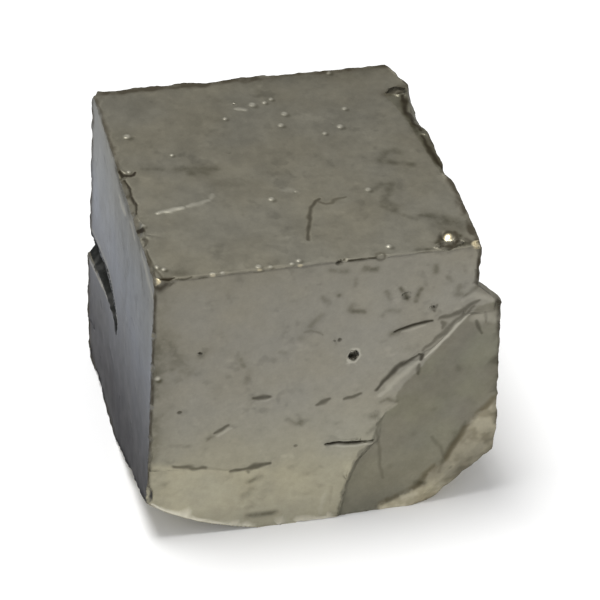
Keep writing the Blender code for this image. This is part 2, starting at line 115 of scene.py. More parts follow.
# Cracks and grooves: the face, the line, the width and depth, and how dark each is
CRACKS = {
    "dark": ("front", ((1.4, 7.87), (2.4, 7.86), (3.4, 7.72), (4.4, 7.66), (5.3, 7.66)), 0.2, 0.2, 1.0),
    "crescent": ("front", ((5.26, 12.85), (5.72, 13.55), (6.29, 14.4), (7.03, 15.05), (7.8, 15.5), (8.3, 15.9)), 0.42, 0.03, 0.7),
    "hook": ("front", ((8.3, 16.0), (8.65, 15.7), (8.62, 15.1)), 0.32, 0.04, 0.75),
    "hook_tail": ("front", ((8.5, 14.65), (8.45, 13.65)), 0.36, 0.01, 0.55),
    "lip_shade": ("front", ((8.7, 16.3), (9.5, 17.2), (10.4, 18.1), (11.4, 19.2), (12.4, 20.1)), 0.5, 0.02, 0.5),
    "groove": ("front", ((6.3, 18.45), (6.6, 18.65), (7.3, 18.82), (8.2, 18.98), (9.2, 19.18)), 0.26, 0.07, 0.85),
    "groove_faint": ("front", ((9.7, 19.3), (10.5, 19.38), (11.25, 19.7), (12.0, 20.2), (12.8, 20.6)), 0.46, 0.02, 0.55),
    "step_left": ("front", ((-10.5, 7.5), (-9.5, 7.3), (-8.9, 7.1), (-8.1, 6.93)), 0.44, 0.03, 0.6),
    "step_faint": ("front", ((-8.2, 6.95), (-6.9, 6.6), (-5.7, 6.35)), 0.2, 0.03, 0.3),
    "step_right": ("front", ((-6.0, 6.3), (-4.7, 6.3), (-4.3, 6.5), (-3.7, 6.6), (-2.9, 6.6)), 0.44, 0.03, 0.65),
    "step_tooth": ("front", ((-4.7, 6.3), (-4.55, 5.9)), 0.34, 0.04, 0.5),
    "dash_high": ("front", ((-4.5, 13.45), (-3.85, 13.5), (-3.2, 13.5)), 0.38, 0.03, 0.65),
    "dash_high_tail": ("front", ((-4.4, 13.2), (-4.9, 12.5), (-5.3, 11.9)), 0.3, 0.02, 0.25),
    "dash_low": ("front", ((-7.4, 10.4), (-6.9, 10.7), (-6.35, 11.0)), 0.38, 0.03, 0.6),
    "dash_low_tail": ("front", ((-8.0, 9.7), (-7.7, 10.0)), 0.3, 0.03, 0.35),
    "dash_left": ("front", ((0.6, 12.1), (1.1, 12.3), (1.6, 12.5)), 0.4, 0.03, 0.6),
    "dash_right": ("front", ((2.65, 12.28), (3.2, 12.4), (3.9, 12.7)), 0.38, 0.03, 0.6),
    "squiggle": ("front", ((-0.9, 19.4), (-0.3, 19.55), (0.1, 19.35), (0.6, 19.0)), 0.28, 0.03, 0.35),
    "scar_crack": ("front", ((5.48, 8.8), (5.86, 6.67), (6.08, 4.56), (6.4, 3.3)), 0.34, 0.005, 0.38),
    "facet_crack": ("front", ((10.2, 6.8), (10.7, 6.1), (11.1, 5.45), (11.35, 4.35)), 0.44, 0.0, 0.38),
    "facet_line": ("front", ((12.84, 8.0), (12.3, 6.5), (11.6, 5.1), (11.3, 4.15), (11.05, 3.0)), 0.46, 0.0, 0.36),
    "tan_stroke_short": ("front", ((13.3, 19.3), (13.5, 18.7), (13.6, 18.1)), 0.3, 0.0, 0.4),
    "tan_stroke": ("front", ((12.75, 18.4), (12.95, 17.8), (13.3, 17.1)), 0.34, 0.02, 0.55),
    "edge_line": ("front", ((1.6, 25.9), (2.6, 25.93), (4.3, 25.9)), 0.2, 0.05, 0.8),
    "curl": ("front", ((9.4, 20.75), (9.15, 20.4), (9.22, 20.0)), 0.36, 0.01, 0.5),
    "curl_low": ("front", ((9.9, 18.9), (10.2, 18.7), (10.05, 18.3)), 0.36, 0.02, 0.5),
    "notch_line": ("front", ((11.6, 21.3), (12.2, 21.75), (12.7, 22.1)), 0.36, 0.02, 0.35),
    "foot_arc": ("front", ((2.2, 1.4), (2.15, 2.4), (2.25, 3.3)), 0.24, 0.02, 0.25),
    "arc": ("top", ((1.9, -4.3), (1.45, -4.6), (1.0, -5.2), (0.7, -5.9), (0.4, -6.9), (0.1, -7.9), (-0.2, -9.0)), 0.36, 0.02, 0.75),
    "arc_branch": ("top", ((1.6, -4.6), (2.1, -4.9), (2.6, -4.95), (3.1, -4.7), (3.8, -4.4)), 0.42, 0.0, 0.65),
    "chip_hook": ("top", ((11.5, 8.9), (10.85, 8.5), (10.1, 8.0), (10.6, 7.7)), 0.26, 0.02, 0.4),
    "chip_side": ("top", ((10.1, 7.8), (10.3, 7.0), (10.6, 6.1), (10.9, 4.4)), 0.2, 0.02, 0.35),
    "chip_low": ("top", ((10.9, 4.4), (11.15, 2.0), (11.4, 0.0), (11.7, -2.8)), 0.16, 0.02, 0.3),
    "gash_tail": ("left", ((1.4, 12.2), (1.1, 11.6), (1.25, 10.4)), 0.4, 0.15, 1.0),
    "nick": ("top", ((-12.4, 1.6), (-12.25, 1.05), (-11.85, 0.8), (-11.4, 0.9), (-11.2, 1.2)), 0.3, 0.02, 0.95),
    "chip_border": ("top", ((-12.3, 0.4), (-12.0, -0.7), (-12.2, -1.6), (-11.9, -2.6), (-12.2, -3.9)), 0.26, 0.05, 0.85),
    "nick_second": ("top", ((-12.3, -5.4), (-12.1, -6.0)), 0.42, 0.0, 0.95),
    "nick_third": ("top", ((-12.3, -6.7), (-12.0, -7.0), (-12.3, -7.6)), 0.32, 0.06, 0.7),
    "border_low": ("top", ((-12.3, -8.2), (-12.2, -9.6), (-12.1, -10.6), (-11.8, -11.6)), 0.2, 0.03, 0.6),
    "corner_line": ("top", ((-12.0, -11.75), (-11.3, -11.85), (-10.9, -11.7)), 0.18, 0.05, 0.9),
    "edge_dash": ("front", ((-10.9, 25.95), (-10.2, 25.85), (-9.6, 25.95)), 0.15, 0.03, 0.6),
    "edge_dash_short": ("front", ((-9.2, 25.8), (-8.5, 25.75)), 0.15, 0.03, 0.5),
    "edge_dash_far": ("front", ((-5.0, 25.75), (-4.2, 25.8)), 0.16, 0.03, 0.5),
    "ring": ("top", ((4.35, -11.85), (4.4, -11.5), (4.75, -11.4), (5.05, -11.55), (5.05, -11.9)), 0.28, 0.005, 0.55),
    "ring_front": ("front", ((4.35, 25.95), (4.45, 25.75), (4.75, 25.65), (5.0, 25.75), (5.05, 25.95)), 0.26, 0.005, 0.5),
    "strip_dark": ("top", ((11.5, 7.4), (11.25, 5.6), (11.4, 3.9), (11.7, 2.9)), 0.52, 0.03, 0.85),
    "strip_dark_low": ("top", ((11.6, 2.2), (11.65, 0.4), (11.9, -1.2), (12.0, -2.0)), 0.5, 0.03, 0.8),
    "edge_dash_last": ("front", ((7.4, 25.9), (8.6, 25.95)), 0.2, 0.03, 0.4),
}

# Light streaks and lips, painted pale, partly as painted highlights where a lip catches the light: the same, but
# raised
RIDGES = {
    "top_streak": ("top", ((-10.5, -3.9), (-9.5, -3.75), (-8.5, -3.65)), 0.36, 0.05, 1.0),
    "top_streak_tail": ("top", ((-8.2, -3.5), (-7.3, -3.35), (-6.4, -3.1)), 0.34, 0.03, 0.6),
    "top_streak_end": ("top", ((-6.2, -2.9), (-6.0, -2.4)), 0.34, 0.03, 0.45),
    "top_dash": ("top", ((-1.9, 8.0), (-1.2, 7.7)), 0.36, 0.04, 0.6),
    "top_smudge": ("top", ((-0.7, -2.8), (0.3, -3.1)), 0.4, 0.0, 0.3),
    "lip": ("front", ((5.6, 12.2), (6.4, 13.1), (7.3, 14.1), (8.4, 15.0)), 0.44, 0.02, 0.5),
    "lip_high": ("front", ((8.9, 15.35), (9.5, 16.0), (10.35, 17.1), (11.2, 18.1), (12.1, 19.3)), 0.24, 0.02, 0.85),
    "horn_tan": ("front", ((12.6, 18.8), (13.3, 18.8), (14.3, 18.4)), 0.95, 0.0, 0.5),
    "groove_lip": ("front", ((6.8, 18.4), (7.6, 18.55), (8.6, 18.8)), 0.2, 0.02, 0.35),
    "dark_lip": ("front", ((1.6, 7.8), (3.3, 7.5), (5.2, 7.42)), 0.24, 0.03, 0.6),
    "dash_lip": ("front", ((-3.2, 13.25), (-3.9, 13.2)), 0.2, 0.02, 0.35),
    "dash_low_lip": ("front", ((-7.2, 10.1), (-6.7, 10.45), (-6.1, 10.75)), 0.22, 0.02, 0.4),
    "notch_lip": ("front", ((11.4, 20.9), (12.2, 21.3), (13.0, 20.9), (14.0, 20.3)), 0.4, 0.01, 0.25),
    "foot_lip": ("front", ((1.5, 0.5), (1.5, 1.5), (1.7, 2.6)), 0.3, 0.02, 0.35),
    "gash_lip": ("left", ((11.9, 9.75), (9.5, 10.2), (7.0, 10.7), (4.6, 11.0)), 0.26, 0.02, 0.8),
    "gash_brow": ("left", ((11.5, 12.8), (9.6, 13.3), (7.5, 13.7), (4.7, 14.1), (2.6, 13.5), (1.2, 12.7), (0.6, 11.5)), 0.3, 0.0, 0.42),
    "chip_ridge": ("top", ((11.5, 6.2), (11.35, 5.0), (11.6, 3.2)), 0.24, 0.02, 0.35),
    "left_flake": ("left", ((1.2, 23.9), (0.0, 23.7), (-1.2, 24.0)), 0.55, 0.0, 0.6),
    "left_flake_low": ("left", ((-3.0, 24.6), (-4.6, 24.4)), 0.5, 0.0, 0.5),
    "left_flake_front": ("left", ((-7.0, 24.9), (-8.6, 24.6), (-10.4, 24.2), (-11.7, 24.0)), 0.6, 0.0, 0.5),
}

# Soft darker patches: the face, a line or one place, how far each spreads, and how dark
STAINS = (
    ("front", ((-11.3, 20.2), (-10.6, 18.4), (-9.8, 17.0)), 0.7, 0.28),
    ("front", ((-12.2, 24.0), (-12.0, 16.0), (-12.0, 4.0)), 1.2, 0.18),
    ("front", ((-12.0, 25.5), (0.0, 25.2), (12.0, 24.5)), 1.5, 0.06),
    ("front", ((-8.9, 18.3), (-8.4, 18.55)), 0.28, 0.22),
    ("front", ((-10.95, 17.2),), 0.25, 0.25),
    ("front", ((-7.4, 15.5), (-7.5, 14.6)), 0.6, 0.08),
    ("front", ((-5.65, 17.5), (-5.4, 16.8)), 0.22, 0.35),
    ("front", ((-4.9, 16.2), (-5.1, 15.2)), 0.3, 0.2),
    ("front", ((-2.7, 17.8), (-2.2, 17.65)), 0.25, 0.25),
    ("front", ((0.45, 21.0), (-0.4, 20.0)), 0.28, 0.28),
    ("front", ((-0.1, 19.5), (-0.9, 19.1)), 0.5, 0.12),
    ("front", ((-1.1, 18.9), (-0.8, 18.7)), 0.25, 0.18),
    ("front", ((0.4, 22.7), (0.9, 22.0)), 0.25, 0.32),
    ("front", ((1.65, 22.65),), 0.22, 0.5),
    ("front", ((0.9, 25.2), (2.1, 24.9)), 0.25, 0.25),
    ("front", ((3.5, 24.95), (4.4, 24.8)), 0.28, 0.5),
    ("front", ((2.9, 24.0), (2.9, 23.4)), 0.2, 0.25),
    ("front", ((2.9, 20.95), (3.7, 20.8)), 0.26, 0.5),
    ("front", ((2.8, 21.6), (2.5, 21.1)), 0.25, 0.28),
    ("front", ((5.35, 22.5), (5.7, 21.75)), 0.24, 0.32),
    ("front", ((6.4, 22.7), (6.8, 22.1), (7.05, 21.5)), 0.22, 0.55),
    ("front", ((8.05, 22.4), (7.8, 21.9), (7.7, 21.3)), 0.22, 0.55),
    ("front", ((9.08, 24.4), (9.07, 23.9)), 0.28, 0.35),
    ("front", ((10.05, 23.3), (10.4, 22.85)), 0.26, 0.3),
    ("front", ((11.3, 24.1), (11.5, 23.5)), 0.22, 0.22),
    ("front", ((5.5, 20.7), (6.4, 20.5)), 0.24, 0.24),
    ("front", ((5.2, 20.2),), 0.25, 0.22),
    ("front", ((11.05, 22.2), (10.8, 21.6), (11.5, 21.25)), 0.36, 0.3),
    ("front", ((5.5, 9.2), (4.85, 8.55)), 0.28, 0.3),
    ("front", ((5.3, 17.65), (5.5, 17.7)), 0.2, 0.2),
    ("front", ((7.3, 16.6), (8.1, 16.7)), 0.3, 0.15),
    ("front", ((-7.85, 9.9), (-7.6, 10.1)), 0.25, 0.3),
    ("front", ((-10.8, 9.65), (-9.4, 9.4)), 0.22, 0.22),
    ("front", ((-1.7, 10.95), (-1.0, 10.4), (-0.1, 10.6)), 0.25, 0.3),
    ("front", ((-0.9, 11.3), (-0.6, 10.2)), 0.22, 0.22),
    ("front", ((2.2, 9.9), (2.5, 10.0)), 0.2, 0.2),
    ("front", ((1.2, 10.6), (1.4, 10.2)), 0.2, 0.15),
    ("front", ((-11.1, 5.7),), 0.35, 0.22),
    ("front", ((-4.5, 4.9), (-3.6, 5.3)), 0.27, 0.42),
    ("front", ((-4.8, 3.5), (-4.2, 4.1)), 0.35, 0.32),
    ("front", ((-3.0, 4.6), (-3.4, 3.2)), 0.5, 0.12),
    ("front", ((0.2, 4.95), (0.95, 5.4)), 0.2, 0.16),
    ("front", ((-4.4, 1.3), (-2.2, 1.3)), 0.3, 0.5),
    ("front", ((-4.6, 2.2), (-4.0, 2.3)), 0.25, 0.2),
    ("front", ((-2.4, 6.2), (-2.2, 4.6), (-1.8, 2.5)), 0.5, 0.06),
    ("front", ((5.0, 10.2), (5.3, 10.3)), 0.32, 0.45),
    ("front", ((5.7, 11.5), (6.2, 11.65), (6.9, 11.2)), 0.2, 0.4),
    ("front", ((4.6, 5.8), (3.8, 3.6)), 0.8, 0.08),
    ("front", ((10.0, 13.0),), 3.2, 0.1),
    ("front", ((11.7, 13.7),), 0.4, 0.25),
    ("front", ((8.6, 7.45),), 0.25, 0.25),
    ("front", ((10.1, 9.8),), 0.25, 0.15),
    ("front", ((12.1, 6.9), (12.0, 5.8)), 0.3, 0.3),
    ("front", ((6.9, 4.4),), 0.3, 0.15),
    ("front", ((9.2, 2.2), (9.8, 2.1)), 0.3, 0.6),
    ("front", ((12.6, 21.9), (13.6, 21.3)), 0.4, 0.25),
    ("front", ((14.0, 18.3),), 0.3, 0.3),
    ("top", ((-8.0, 1.05), (-6.5, 0.9), (-5.1, 0.75)), 0.42, 0.4),
    ("top", ((-7.0, 0.3), (-6.0, 0.1)), 0.42, 0.32),
    ("top", ((-10.6, 1.55), (-9.1, 1.3)), 0.22, 0.3),
    ("top", ((-5.5, -1.1), (-2.5, -1.6)), 0.5, 0.15),
    ("top", ((-3.6, 6.9),), 0.5, 0.18),
    ("top", ((0.4, 9.9), (0.3, 9.2)), 0.3, 0.22),
    ("top", ((-3.6, 9.8), (-3.0, 9.2)), 0.35, 0.15),
    ("top", ((8.3, 0.6), (7.6, -0.4), (8.5, -0.9), (9.8, -1.3)), 0.36, 0.42),
    ("top", ((9.0, 0.7), (9.4, 0.2)), 0.34, 0.28),
    ("top", ((7.6, -3.5), (6.6, -5.6), (7.3, -6.4)), 0.4, 0.4),
    ("top", ((6.3, -3.9), (6.9, -3.4)), 0.34, 0.3),
    ("top", ((9.0, -7.6), (10.0, -7.9), (11.2, -8.7)), 0.42, 0.42),
    ("top", ((10.2, -9.0), (12.0, -9.6)), 0.8, 0.3),
    ("top", ((6.3, -6.1), (7.3, -7.1), (8.4, -8.0)), 0.24, 0.26),
    ("top", ((7.6, -11.55), (8.6, -11.65)), 0.2, 0.52),
    ("top", ((9.3, -11.0), (10.4, -9.9), (11.1, -10.5)), 0.26, 0.75),
    ("top", ((10.5, -11.5), (11.7, -11.5)), 0.3, 0.6),
    ("top", ((11.4, 6.9), (11.15, 5.2), (11.3, 2.8)), 0.3, 0.68),
    ("top", ((11.55, 2.0), (11.7, 0.2), (11.9, -1.5)), 0.25, 0.68),
    ("left", ((2.6, 25.5), (1.2, 25.2), (-0.4, 25.1)), 0.55, 0.6),
    ("left", ((-1.2, 25.3), (-2.4, 25.0)), 0.5, 0.5),
    ("left", ((-5.2, 25.3), (-6.6, 25.0)), 0.5, 0.55),
    ("left", ((-9.4, 25.6), (-10.6, 25.5)), 0.4, 0.4),
    ("left", ((1.6, 22.6), (-0.6, 21.2)), 0.8, 0.14),
    ("left", ((-2.4, 20.3), (-2.0, 18.2)), 0.4, 0.2),
    ("left", ((-0.3, 21.4), (-0.1, 19.6)), 0.35, 0.15),
    ("left", ((-7.1, 23.5), (-7.9, 22.4)), 0.4, 0.25),
    ("left", ((-2.4, 17.6), (-2.1, 16.2)), 0.3, 0.15),
    ("left", ((-7.6, 16.4), (-7.7, 14.6)), 0.3, 0.18),
    ("left", ((4.6, 20.4), (4.5, 18.0)), 0.5, 0.12),
    ("front", ((6.1, 18.3), (6.6, 18.5)), 0.34, 0.45),
    ("front", ((-12.2, 19.5), (-12.2, 15.0)), 0.5, 0.25),
    ("front", ((-12.2, 12.5), (-12.2, 8.6)), 0.45, 0.2),
    ("front", ((12.6, 22.3), (13.3, 21.7)), 0.3, 0.3),
    ("top", ((-11.4, -11.2), (-10.2, -11.3)), 0.5, 0.3),
    ("top", ((-11.0, 11.6), (11.0, 11.6)), 0.5, 0.22),
    ("top", ((0.0, 11.0), (12.0, 10.9)), 0.8, 0.16),
)

# Small bumps painted pale, partly as a painted highlight, each with a painted shadow below and to the right: the
# face, the place, and how large across
SPECKS = (
    ("top", (-10.95, 5.85), 0.75),
    ("top", (-0.5, 8.3), 0.75),
    ("top", (0.5, 8.4), 0.50),
    ("top", (1.1, 8.75), 0.50),
    ("top", (-3.0, 6.85), 0.50),
    ("top", (1.7, 6.7), 0.69),
    ("top", (1.1, 5.3), 0.62),
    ("top", (-8.03, 2.96), 0.44),
    ("top", (-1.76, -3.7), 0.62),
    ("top", (6.5, 6.6), 0.56),
    ("top", (5.6, 4.4), 0.69),
    ("top", (4.2, 3.7), 0.50),
    ("top", (5.76, -3.8), 0.62),
    ("top", (5.6, -10.75), 0.62),
    ("top", (6.4, 11.5), 0.62),
    ("top", (-11.7, 1.4), 0.45),
    ("top", (-12.0, -10.25), 0.56),
    ("top", (-11.5, -10.6), 0.50),
    ("top", (-11.95, -5.3), 0.50),
    ("top", (-4.55, -11.5), 0.62),
    ("top", (-3.7, -11.7), 0.50),
    ("top", (-8.1, -11.8), 0.62),
    ("top", (-7.35, -11.8), 0.50),
    ("top", (-2.05, -11.6), 0.50),
    ("top", (-1.45, -11.3), 0.56),
    ("front", (-12.0, 16.6), 0.62),
)

# Fresh brassy facets, cut so that they catch light from above: where each is, its depth and half
# length, and how bright the metal is
GLINT_FACING = (-0.22, -0.4, 0.89)
GLINTS = (
    ((-12.3, FRONT, 26.0), 0.2, 0.2, 0.9),
    ((-8.1, FRONT, 26.0), 0.06, 0.22, 0.25),
    ((-4.55, FRONT, 26.0), 0.06, 0.22, 0.25),
    ((-1.5, FRONT, 26.0), 0.06, 0.2, 0.25),
    ((12.14, FRONT + 0.3, 26.0), 0.22, 0.26, 1.0),
)
# A small tilted crystal face with a hollow in front of it: its middle on the top, half its length
TILTED = ((10.3, -10.35), 0.34)
# Brown grime round the fresh metal and along the chipped edges, partly painted shade in the crevices: the face, the
# line, the spread, how dark
GRIME_AND_CREVICE_SHADE = (
    ("front", ((-12.4, 25.4), (-12.0, 25.2), (-11.6, 25.6)), 0.32, 1.0),
    ("top", ((-12.0, -11.7), (-11.2, -11.8)), 0.26, 0.9),
    ("top", ((9.45, -11.2), (9.6, -10.3), (10.3, -9.85), (11.0, -10.1)), 0.2, 0.8),
    ("top", ((10.9, -10.0), (10.95, -10.9), (10.4, -11.4), (9.6, -11.3)), 0.24, 1.0),
    ("top", ((11.5, -10.9), (11.9, -11.4)), 0.24, 0.8),
    ("top", ((10.2, -9.5), (11.6, -9.9)), 0.5, 0.35),
    ("top", ((10.1, 7.9), (10.8, 8.2), (11.6, 8.6), (12.3, 8.8)), 0.55, 0.85),
)
# The light rim along the front's lower left edge, a painted highlight where the bevel catches the light
RIM = (
    (-12.1, 3.75), (-11.4, 3.2), (-10.4, 2.58), (-9.2, 1.98), (-8.2, 1.5), (-7.0, 1.08),
    (-5.6, 0.66), (-4.4, 0.36), (-3.0, 0.2), (0.0, 0.16), (2.4, 0.16),
)
# Deeper nicks in the edges: where, which way each faces, how deep and how long
NICKS = (
    ((LEFT, 1.0, HEIGHT), (-1, 0, 1), 0.3, 0.6),
    ((LEFT, -0.6, HEIGHT), (-1, 0, 1), 0.26, 1.0),
    ((LEFT, -2.6, HEIGHT), (-1, 0, 1.3), 0.28, 1.2),
    ((LEFT, -3.8, HEIGHT), (-1, 0, 1), 0.18, 0.5),
    ((LEFT, -5.8, HEIGHT), (-1, 0, 1), 0.2, 0.5),
    ((LEFT, -7.0, HEIGHT), (-1, 0, 1), 0.24, 0.5),
    ((LEFT, -10.4, HEIGHT), (-1, 0, 1), 0.18, 0.6),
    ((LEFT, FRONT, 20.7), (-1, -1, 0), 0.18, 0.5),
    ((LEFT, FRONT, 17.6), (-1, -1, 0), 0.2, 0.6),
    ((LEFT, FRONT, 13.7), (-1, -1, 0), 0.18, 0.5),
    ((LEFT, FRONT, 10.6), (-1, -1, 0), 0.16, 0.5),
    ((LEFT, FRONT, 8.8), (-1, -1, 0), 0.14, 0.4),
)
# Holes: the face, the middle, the two half sizes and the depth
HOLES = (
    ("front", (3.22, 16.58), (0.42, 0.56), 0.45),
    ("front", (1.95, 18.3), (0.22, 0.22), 0.1),
    ("front", (-10.2, 12.93), (0.24, 0.18), 0.1),
    ("front", (-0.95, 8.14), (0.18, 0.15), 0.05),
    ("front", (1.45, 25.8), (0.32, 0.26), 0.25),
)

# ---------------------------------------------------------------- noise

TURN = np.array(Matrix.Rotation(0.7, 3, Vector((1.0, 2.0, 3.0))))
LATTICE = np.array((374761393, 668265263, 2147483629))


def hashed(cells, seed):
    """A repeatable number from 0 to 1 for each cell of a whole-number grid."""
    mixed = cells @ LATTICE + seed * 974711
    mixed = (mixed ^ (mixed >> 13)) * 1274126177
    return ((mixed ^ (mixed >> 16)) & 0xFFFF) / 0xFFFF


def noise(points, size, seed):
    """Smooth noise from -1 to 1 whose bumps are about one size across, turned off the faces' axes."""
    place = points @ TURN.T / size + seed * 17.3
    cell = np.floor(place).astype(np.int64)
    part = place - cell
    part = part**3 * (part * (part * 6 - 15) + 10)
    total = np.zeros(len(points))
    for corner in itertools.product((0, 1), repeat=3):
        share = np.ones(len(points))
        for axis, side in enumerate(corner):
            share = share * (part[:, axis] if side else 1 - part[:, axis])
        total += share * hashed(cell + np.array(corner), seed)
    return total * 2 - 1


def layered(points, size, octaves, seed):
    """Noise with finer and fainter noise on it."""
    total = np.zeros(len(points))
    strength = 1.0
    for octave in range(octaves):
        total += strength * noise(points, size / 2**octave, seed + octave)
        strength /= 2
    return total


def smooth(values, low, high):
    """0 below low, 1 above high, and smooth between."""
    share = np.clip((values - low) / (high - low), 0, 1)
    return share * share * (3 - 2 * share)


# ---------------------------------------------------------------- places on faces


def members(points, normals, face, tilt=0.8, deepest=None):
    """Which points lie on a face, and where on it."""
    axis, way, plane, across, up = FACES[face]
    depth = way * (plane - points[:, axis])
    facing = way * normals[:, axis]
    deepest = deepest or DEEPEST.get(face, USUAL_DEEPEST)
    where = np.nonzero((depth > -PROUDEST) & (depth < deepest) & (facing > tilt))[0]
    return where, points[where][:, (across, up)]


def line_distance(places, line):
    """How far places are from a line, and how far along it each is, from 0 to 1."""
    line = np.array(line, float)
    if len(line) == 1:
        return np.linalg.norm(places - line[0], axis=1), np.full(len(places), 0.5)
    runs = np.linalg.norm(np.diff(line, axis=0), axis=1)
    passed = np.concatenate(((0,), np.cumsum(runs)))
    nearest = np.full(len(places), np.inf)
    along = np.zeros(len(places))
    for index, run in enumerate(runs):
        way = (line[index + 1] - line[index]) / run
        reach = np.clip((places - line[index]) @ way, 0, run)
        gap = np.linalg.norm(places - line[index] - reach[:, None] * way, axis=1)
        closer = gap < nearest
        nearest[closer] = gap[closer]
        along[closer] = (passed[index] + reach[closer]) / passed[-1]
    return nearest, along


def inside_distance(places, outline):
    """How far places are inside a closed outline; outside it the distance is negative."""
    closed = np.array(outline + outline[:1], float)
    gap, _ = line_distance(places, closed)
    inside = np.zeros(len(places), bool)
    for start, end in zip(closed, closed[1:]):
        crosses = (start[1] > places[:, 1]) != (end[1] > places[:, 1])
        if start[1] != end[1]:
            at = start[0] + (places[:, 1] - start[1]) / (end[1] - start[1]) * (end[0] - start[0])
            inside ^= crosses & (places[:, 0] < at)
    return np.where(inside, gap, -gap)


def near(places, line, spread):
    """The places within a few spreads of a line, so that the rest need no working out."""
    line = np.array(line, float)
    low = line.min(0) - 3 * spread
    high = line.max(0) + 3 * spread
    return np.nonzero(((places > low) & (places < high)).all(1))[0]


# ---------------------------------------------------------------- the fine surface


def link(thing):
    bpy.context.scene.collection.objects.link(thing)
    return thing


def evaluated_mesh(thing):
    depsgraph = bpy.context.evaluated_depsgraph_get()
    return bpy.data.meshes.new_from_object(thing.evaluated_get(depsgraph))


def take_modified(thing):
    """Puts what the modifiers make in place of the mesh."""
    mesh = evaluated_mesh(thing)
    thing.modifiers.clear()
    thing.data = mesh


def vectors(collection, name):
    values = np.empty(len(collection) * 3, np.float32)
    collection.foreach_get(name, values)
    return values.reshape(-1, 3).astype(float)


def put_positions(mesh, points):
    mesh.vertices.foreach_set("co", points.astype(np.float32).ravel())
    mesh.update()


def fine_copy(node):
    """The CAD solid as an even fine mesh in millimetres, in an object of its own."""
    coarse = node.data.copy()
    coarse.transform(Matrix.Scale(1 / MM, 4))
    crystal = link(bpy.data.objects.new("pyrite_surface", coarse))
    remesh = crystal.modifiers.new("voxels", "REMESH")
    remesh.mode = "VOXEL"
    remesh.voxel_size = VOXEL
    take_modified(crystal)
    return crystal


def thin_out(crystal):
    """Keeps the triangles where the surface turns or carries a mark, and few where it is plain."""
    mesh = crystal.data
    wanted = importance(vectors(mesh.vertices, "co"), vectors(mesh.vertex_normals, "vector"))
    plain = crystal.vertex_groups.new(name="plain")
    levels = 5
    level = np.round((1 - wanted) * levels).astype(int)
    for step in range(levels + 1):
        plain.add(np.nonzero(level == step)[0].tolist(), step / levels, "REPLACE")
    triangles = crystal.modifiers.new("triangles", "TRIANGULATE")
    triangles.quad_method = "SHORTEST_DIAGONAL"
    fewer = crystal.modifiers.new("fewer", "DECIMATE")
    fewer.ratio = MOST_TRIANGLES / (2 * len(mesh.polygons))
    fewer.vertex_group = plain.name
    fewer.vertex_group_factor = EVENNESS
    take_modified(crystal)
    put_positions(crystal.data, np.clip(vectors(crystal.data.vertices, "co"), LOW, HIGH))


def importance(points, normals):
    """1 near marks, less on the plain parts of the marked faces, and 0 on the others."""
    wanted = np.zeros(len(points))
    for face in ("front", "top", "left"):
        where, places = members(points, normals, face, 0.3)
        wanted[where] = 0.5
        for line, reach in marks_on(face):
            close = near(places, line, reach)
            gap, _ = line_distance(places[close], line)
            wanted[where[close[gap < reach * 1.6]]] = 1.0
    return wanted


def marks_on(face):
    """Every line or place on a face where fine detail is needed, and how far it reaches."""
    marks = [(line, width) for table in (CRACKS, RIDGES) for on, line, width, _, _ in table.values() if on == face]
    marks += [(line, min(spread, 0.5)) for on, line, spread, _ in STAINS if on == face]
    marks += [((middle,), across) for on, middle, across in SPECKS if on == face]
    marks += [((middle,), max(halves)) for on, middle, halves, _ in HOLES if on == face]
    marks += [(line, spread) for on, line, spread, _ in GRIME_AND_CREVICE_SHADE if on == face]
    if face == "front":
        marks += [(SCAR[:18], 0.3), (FACETS[:14], 0.4)]
    return marks


def edge_lines():
    """The crystals' own edges: both ends, which way each faces out, the space between chips, and the
    width and strength of the grime and painted shade along it."""
    left, right, front, back, top = LEFT, RIGHT, FRONT, BACK, HEIGHT
    return (
        ((left, front, top), (right, front, top), (0, -1, 1), 1.0, 0.2, 0.22),
        ((left, front, top), (left, back, top), (-1, 0, 1), 0.8, 0.26, 0.8),
        ((left, back, top), (right, back, top), (0, 1, 1), 0.7, 0.75, 1.0),
        ((right, front, top), (right, back, top), (1, 0, 1), 0.7, 0.6, 1.0),
        ((left, front, 4.6), (left, front, top), (-1, -1, 0), 0.8, 0.16, 0.8),
        ((left, back, 0), (left, back, top), (-1, 1, 0), 0.6, 0.9, 1.0),
        ((right, back, 0), (right, back, top), (1, 1, 0), 0.6, 0.3, 0.7),
        ((right, front, 22.6), (right, front, top), (1, -1, 0), 0.7, 0.3, 1.0),
        ((15.3, front, 6.0), (14.7, front, 20.5), (1, -1, 0), 0.6, 0.55, 1.0),
        ((left, front + 4, 0), (left, back, 0), (-1, 0, -1), 0.6, 0.3, 0.6),
        ((left, back, 0), (right, back, 0), (0, 1, -1), 0.6, 0.3, 0.6),
        ((14.7, front + 6, SECOND_TOP), (14.3, SECOND_BACK, SECOND_TOP), (1, 0, 1), 0.6, 0.3, 0.6),
        ((15.2, SECOND_BACK, 1.0), (14.4, SECOND_BACK, SECOND_TOP), (1, 1, 0), 0.6, 0.3, 0.6),
    )


def cut_flat(points, middle, facing, depth, half, highest=None, flatness=2):
    """Cuts a small facet, which is deepest at the middle of its length and fades out at its ends.

    The depth is counted from the highest point about, unless it is given.
    """
    middle = np.array(middle, float)
    facing = np.array(facing, float)
    facing /= np.linalg.norm(facing)
    reach = half + 4 * depth
    close = np.nonzero((np.abs(points - middle) < reach).all(1))[0]
    if len(close) == 0:
        return
    offset = points[close] - middle
    height = offset @ facing
    flat = offset - height[:, None] * facing
    bow = 1 - (flat**2).sum(1) ** (flatness / 2) / half**flatness
    if highest is None:
        highest = height.max()
    over = np.maximum(height - highest + depth * bow, 0)
    points[close] -= over[:, None] * facing


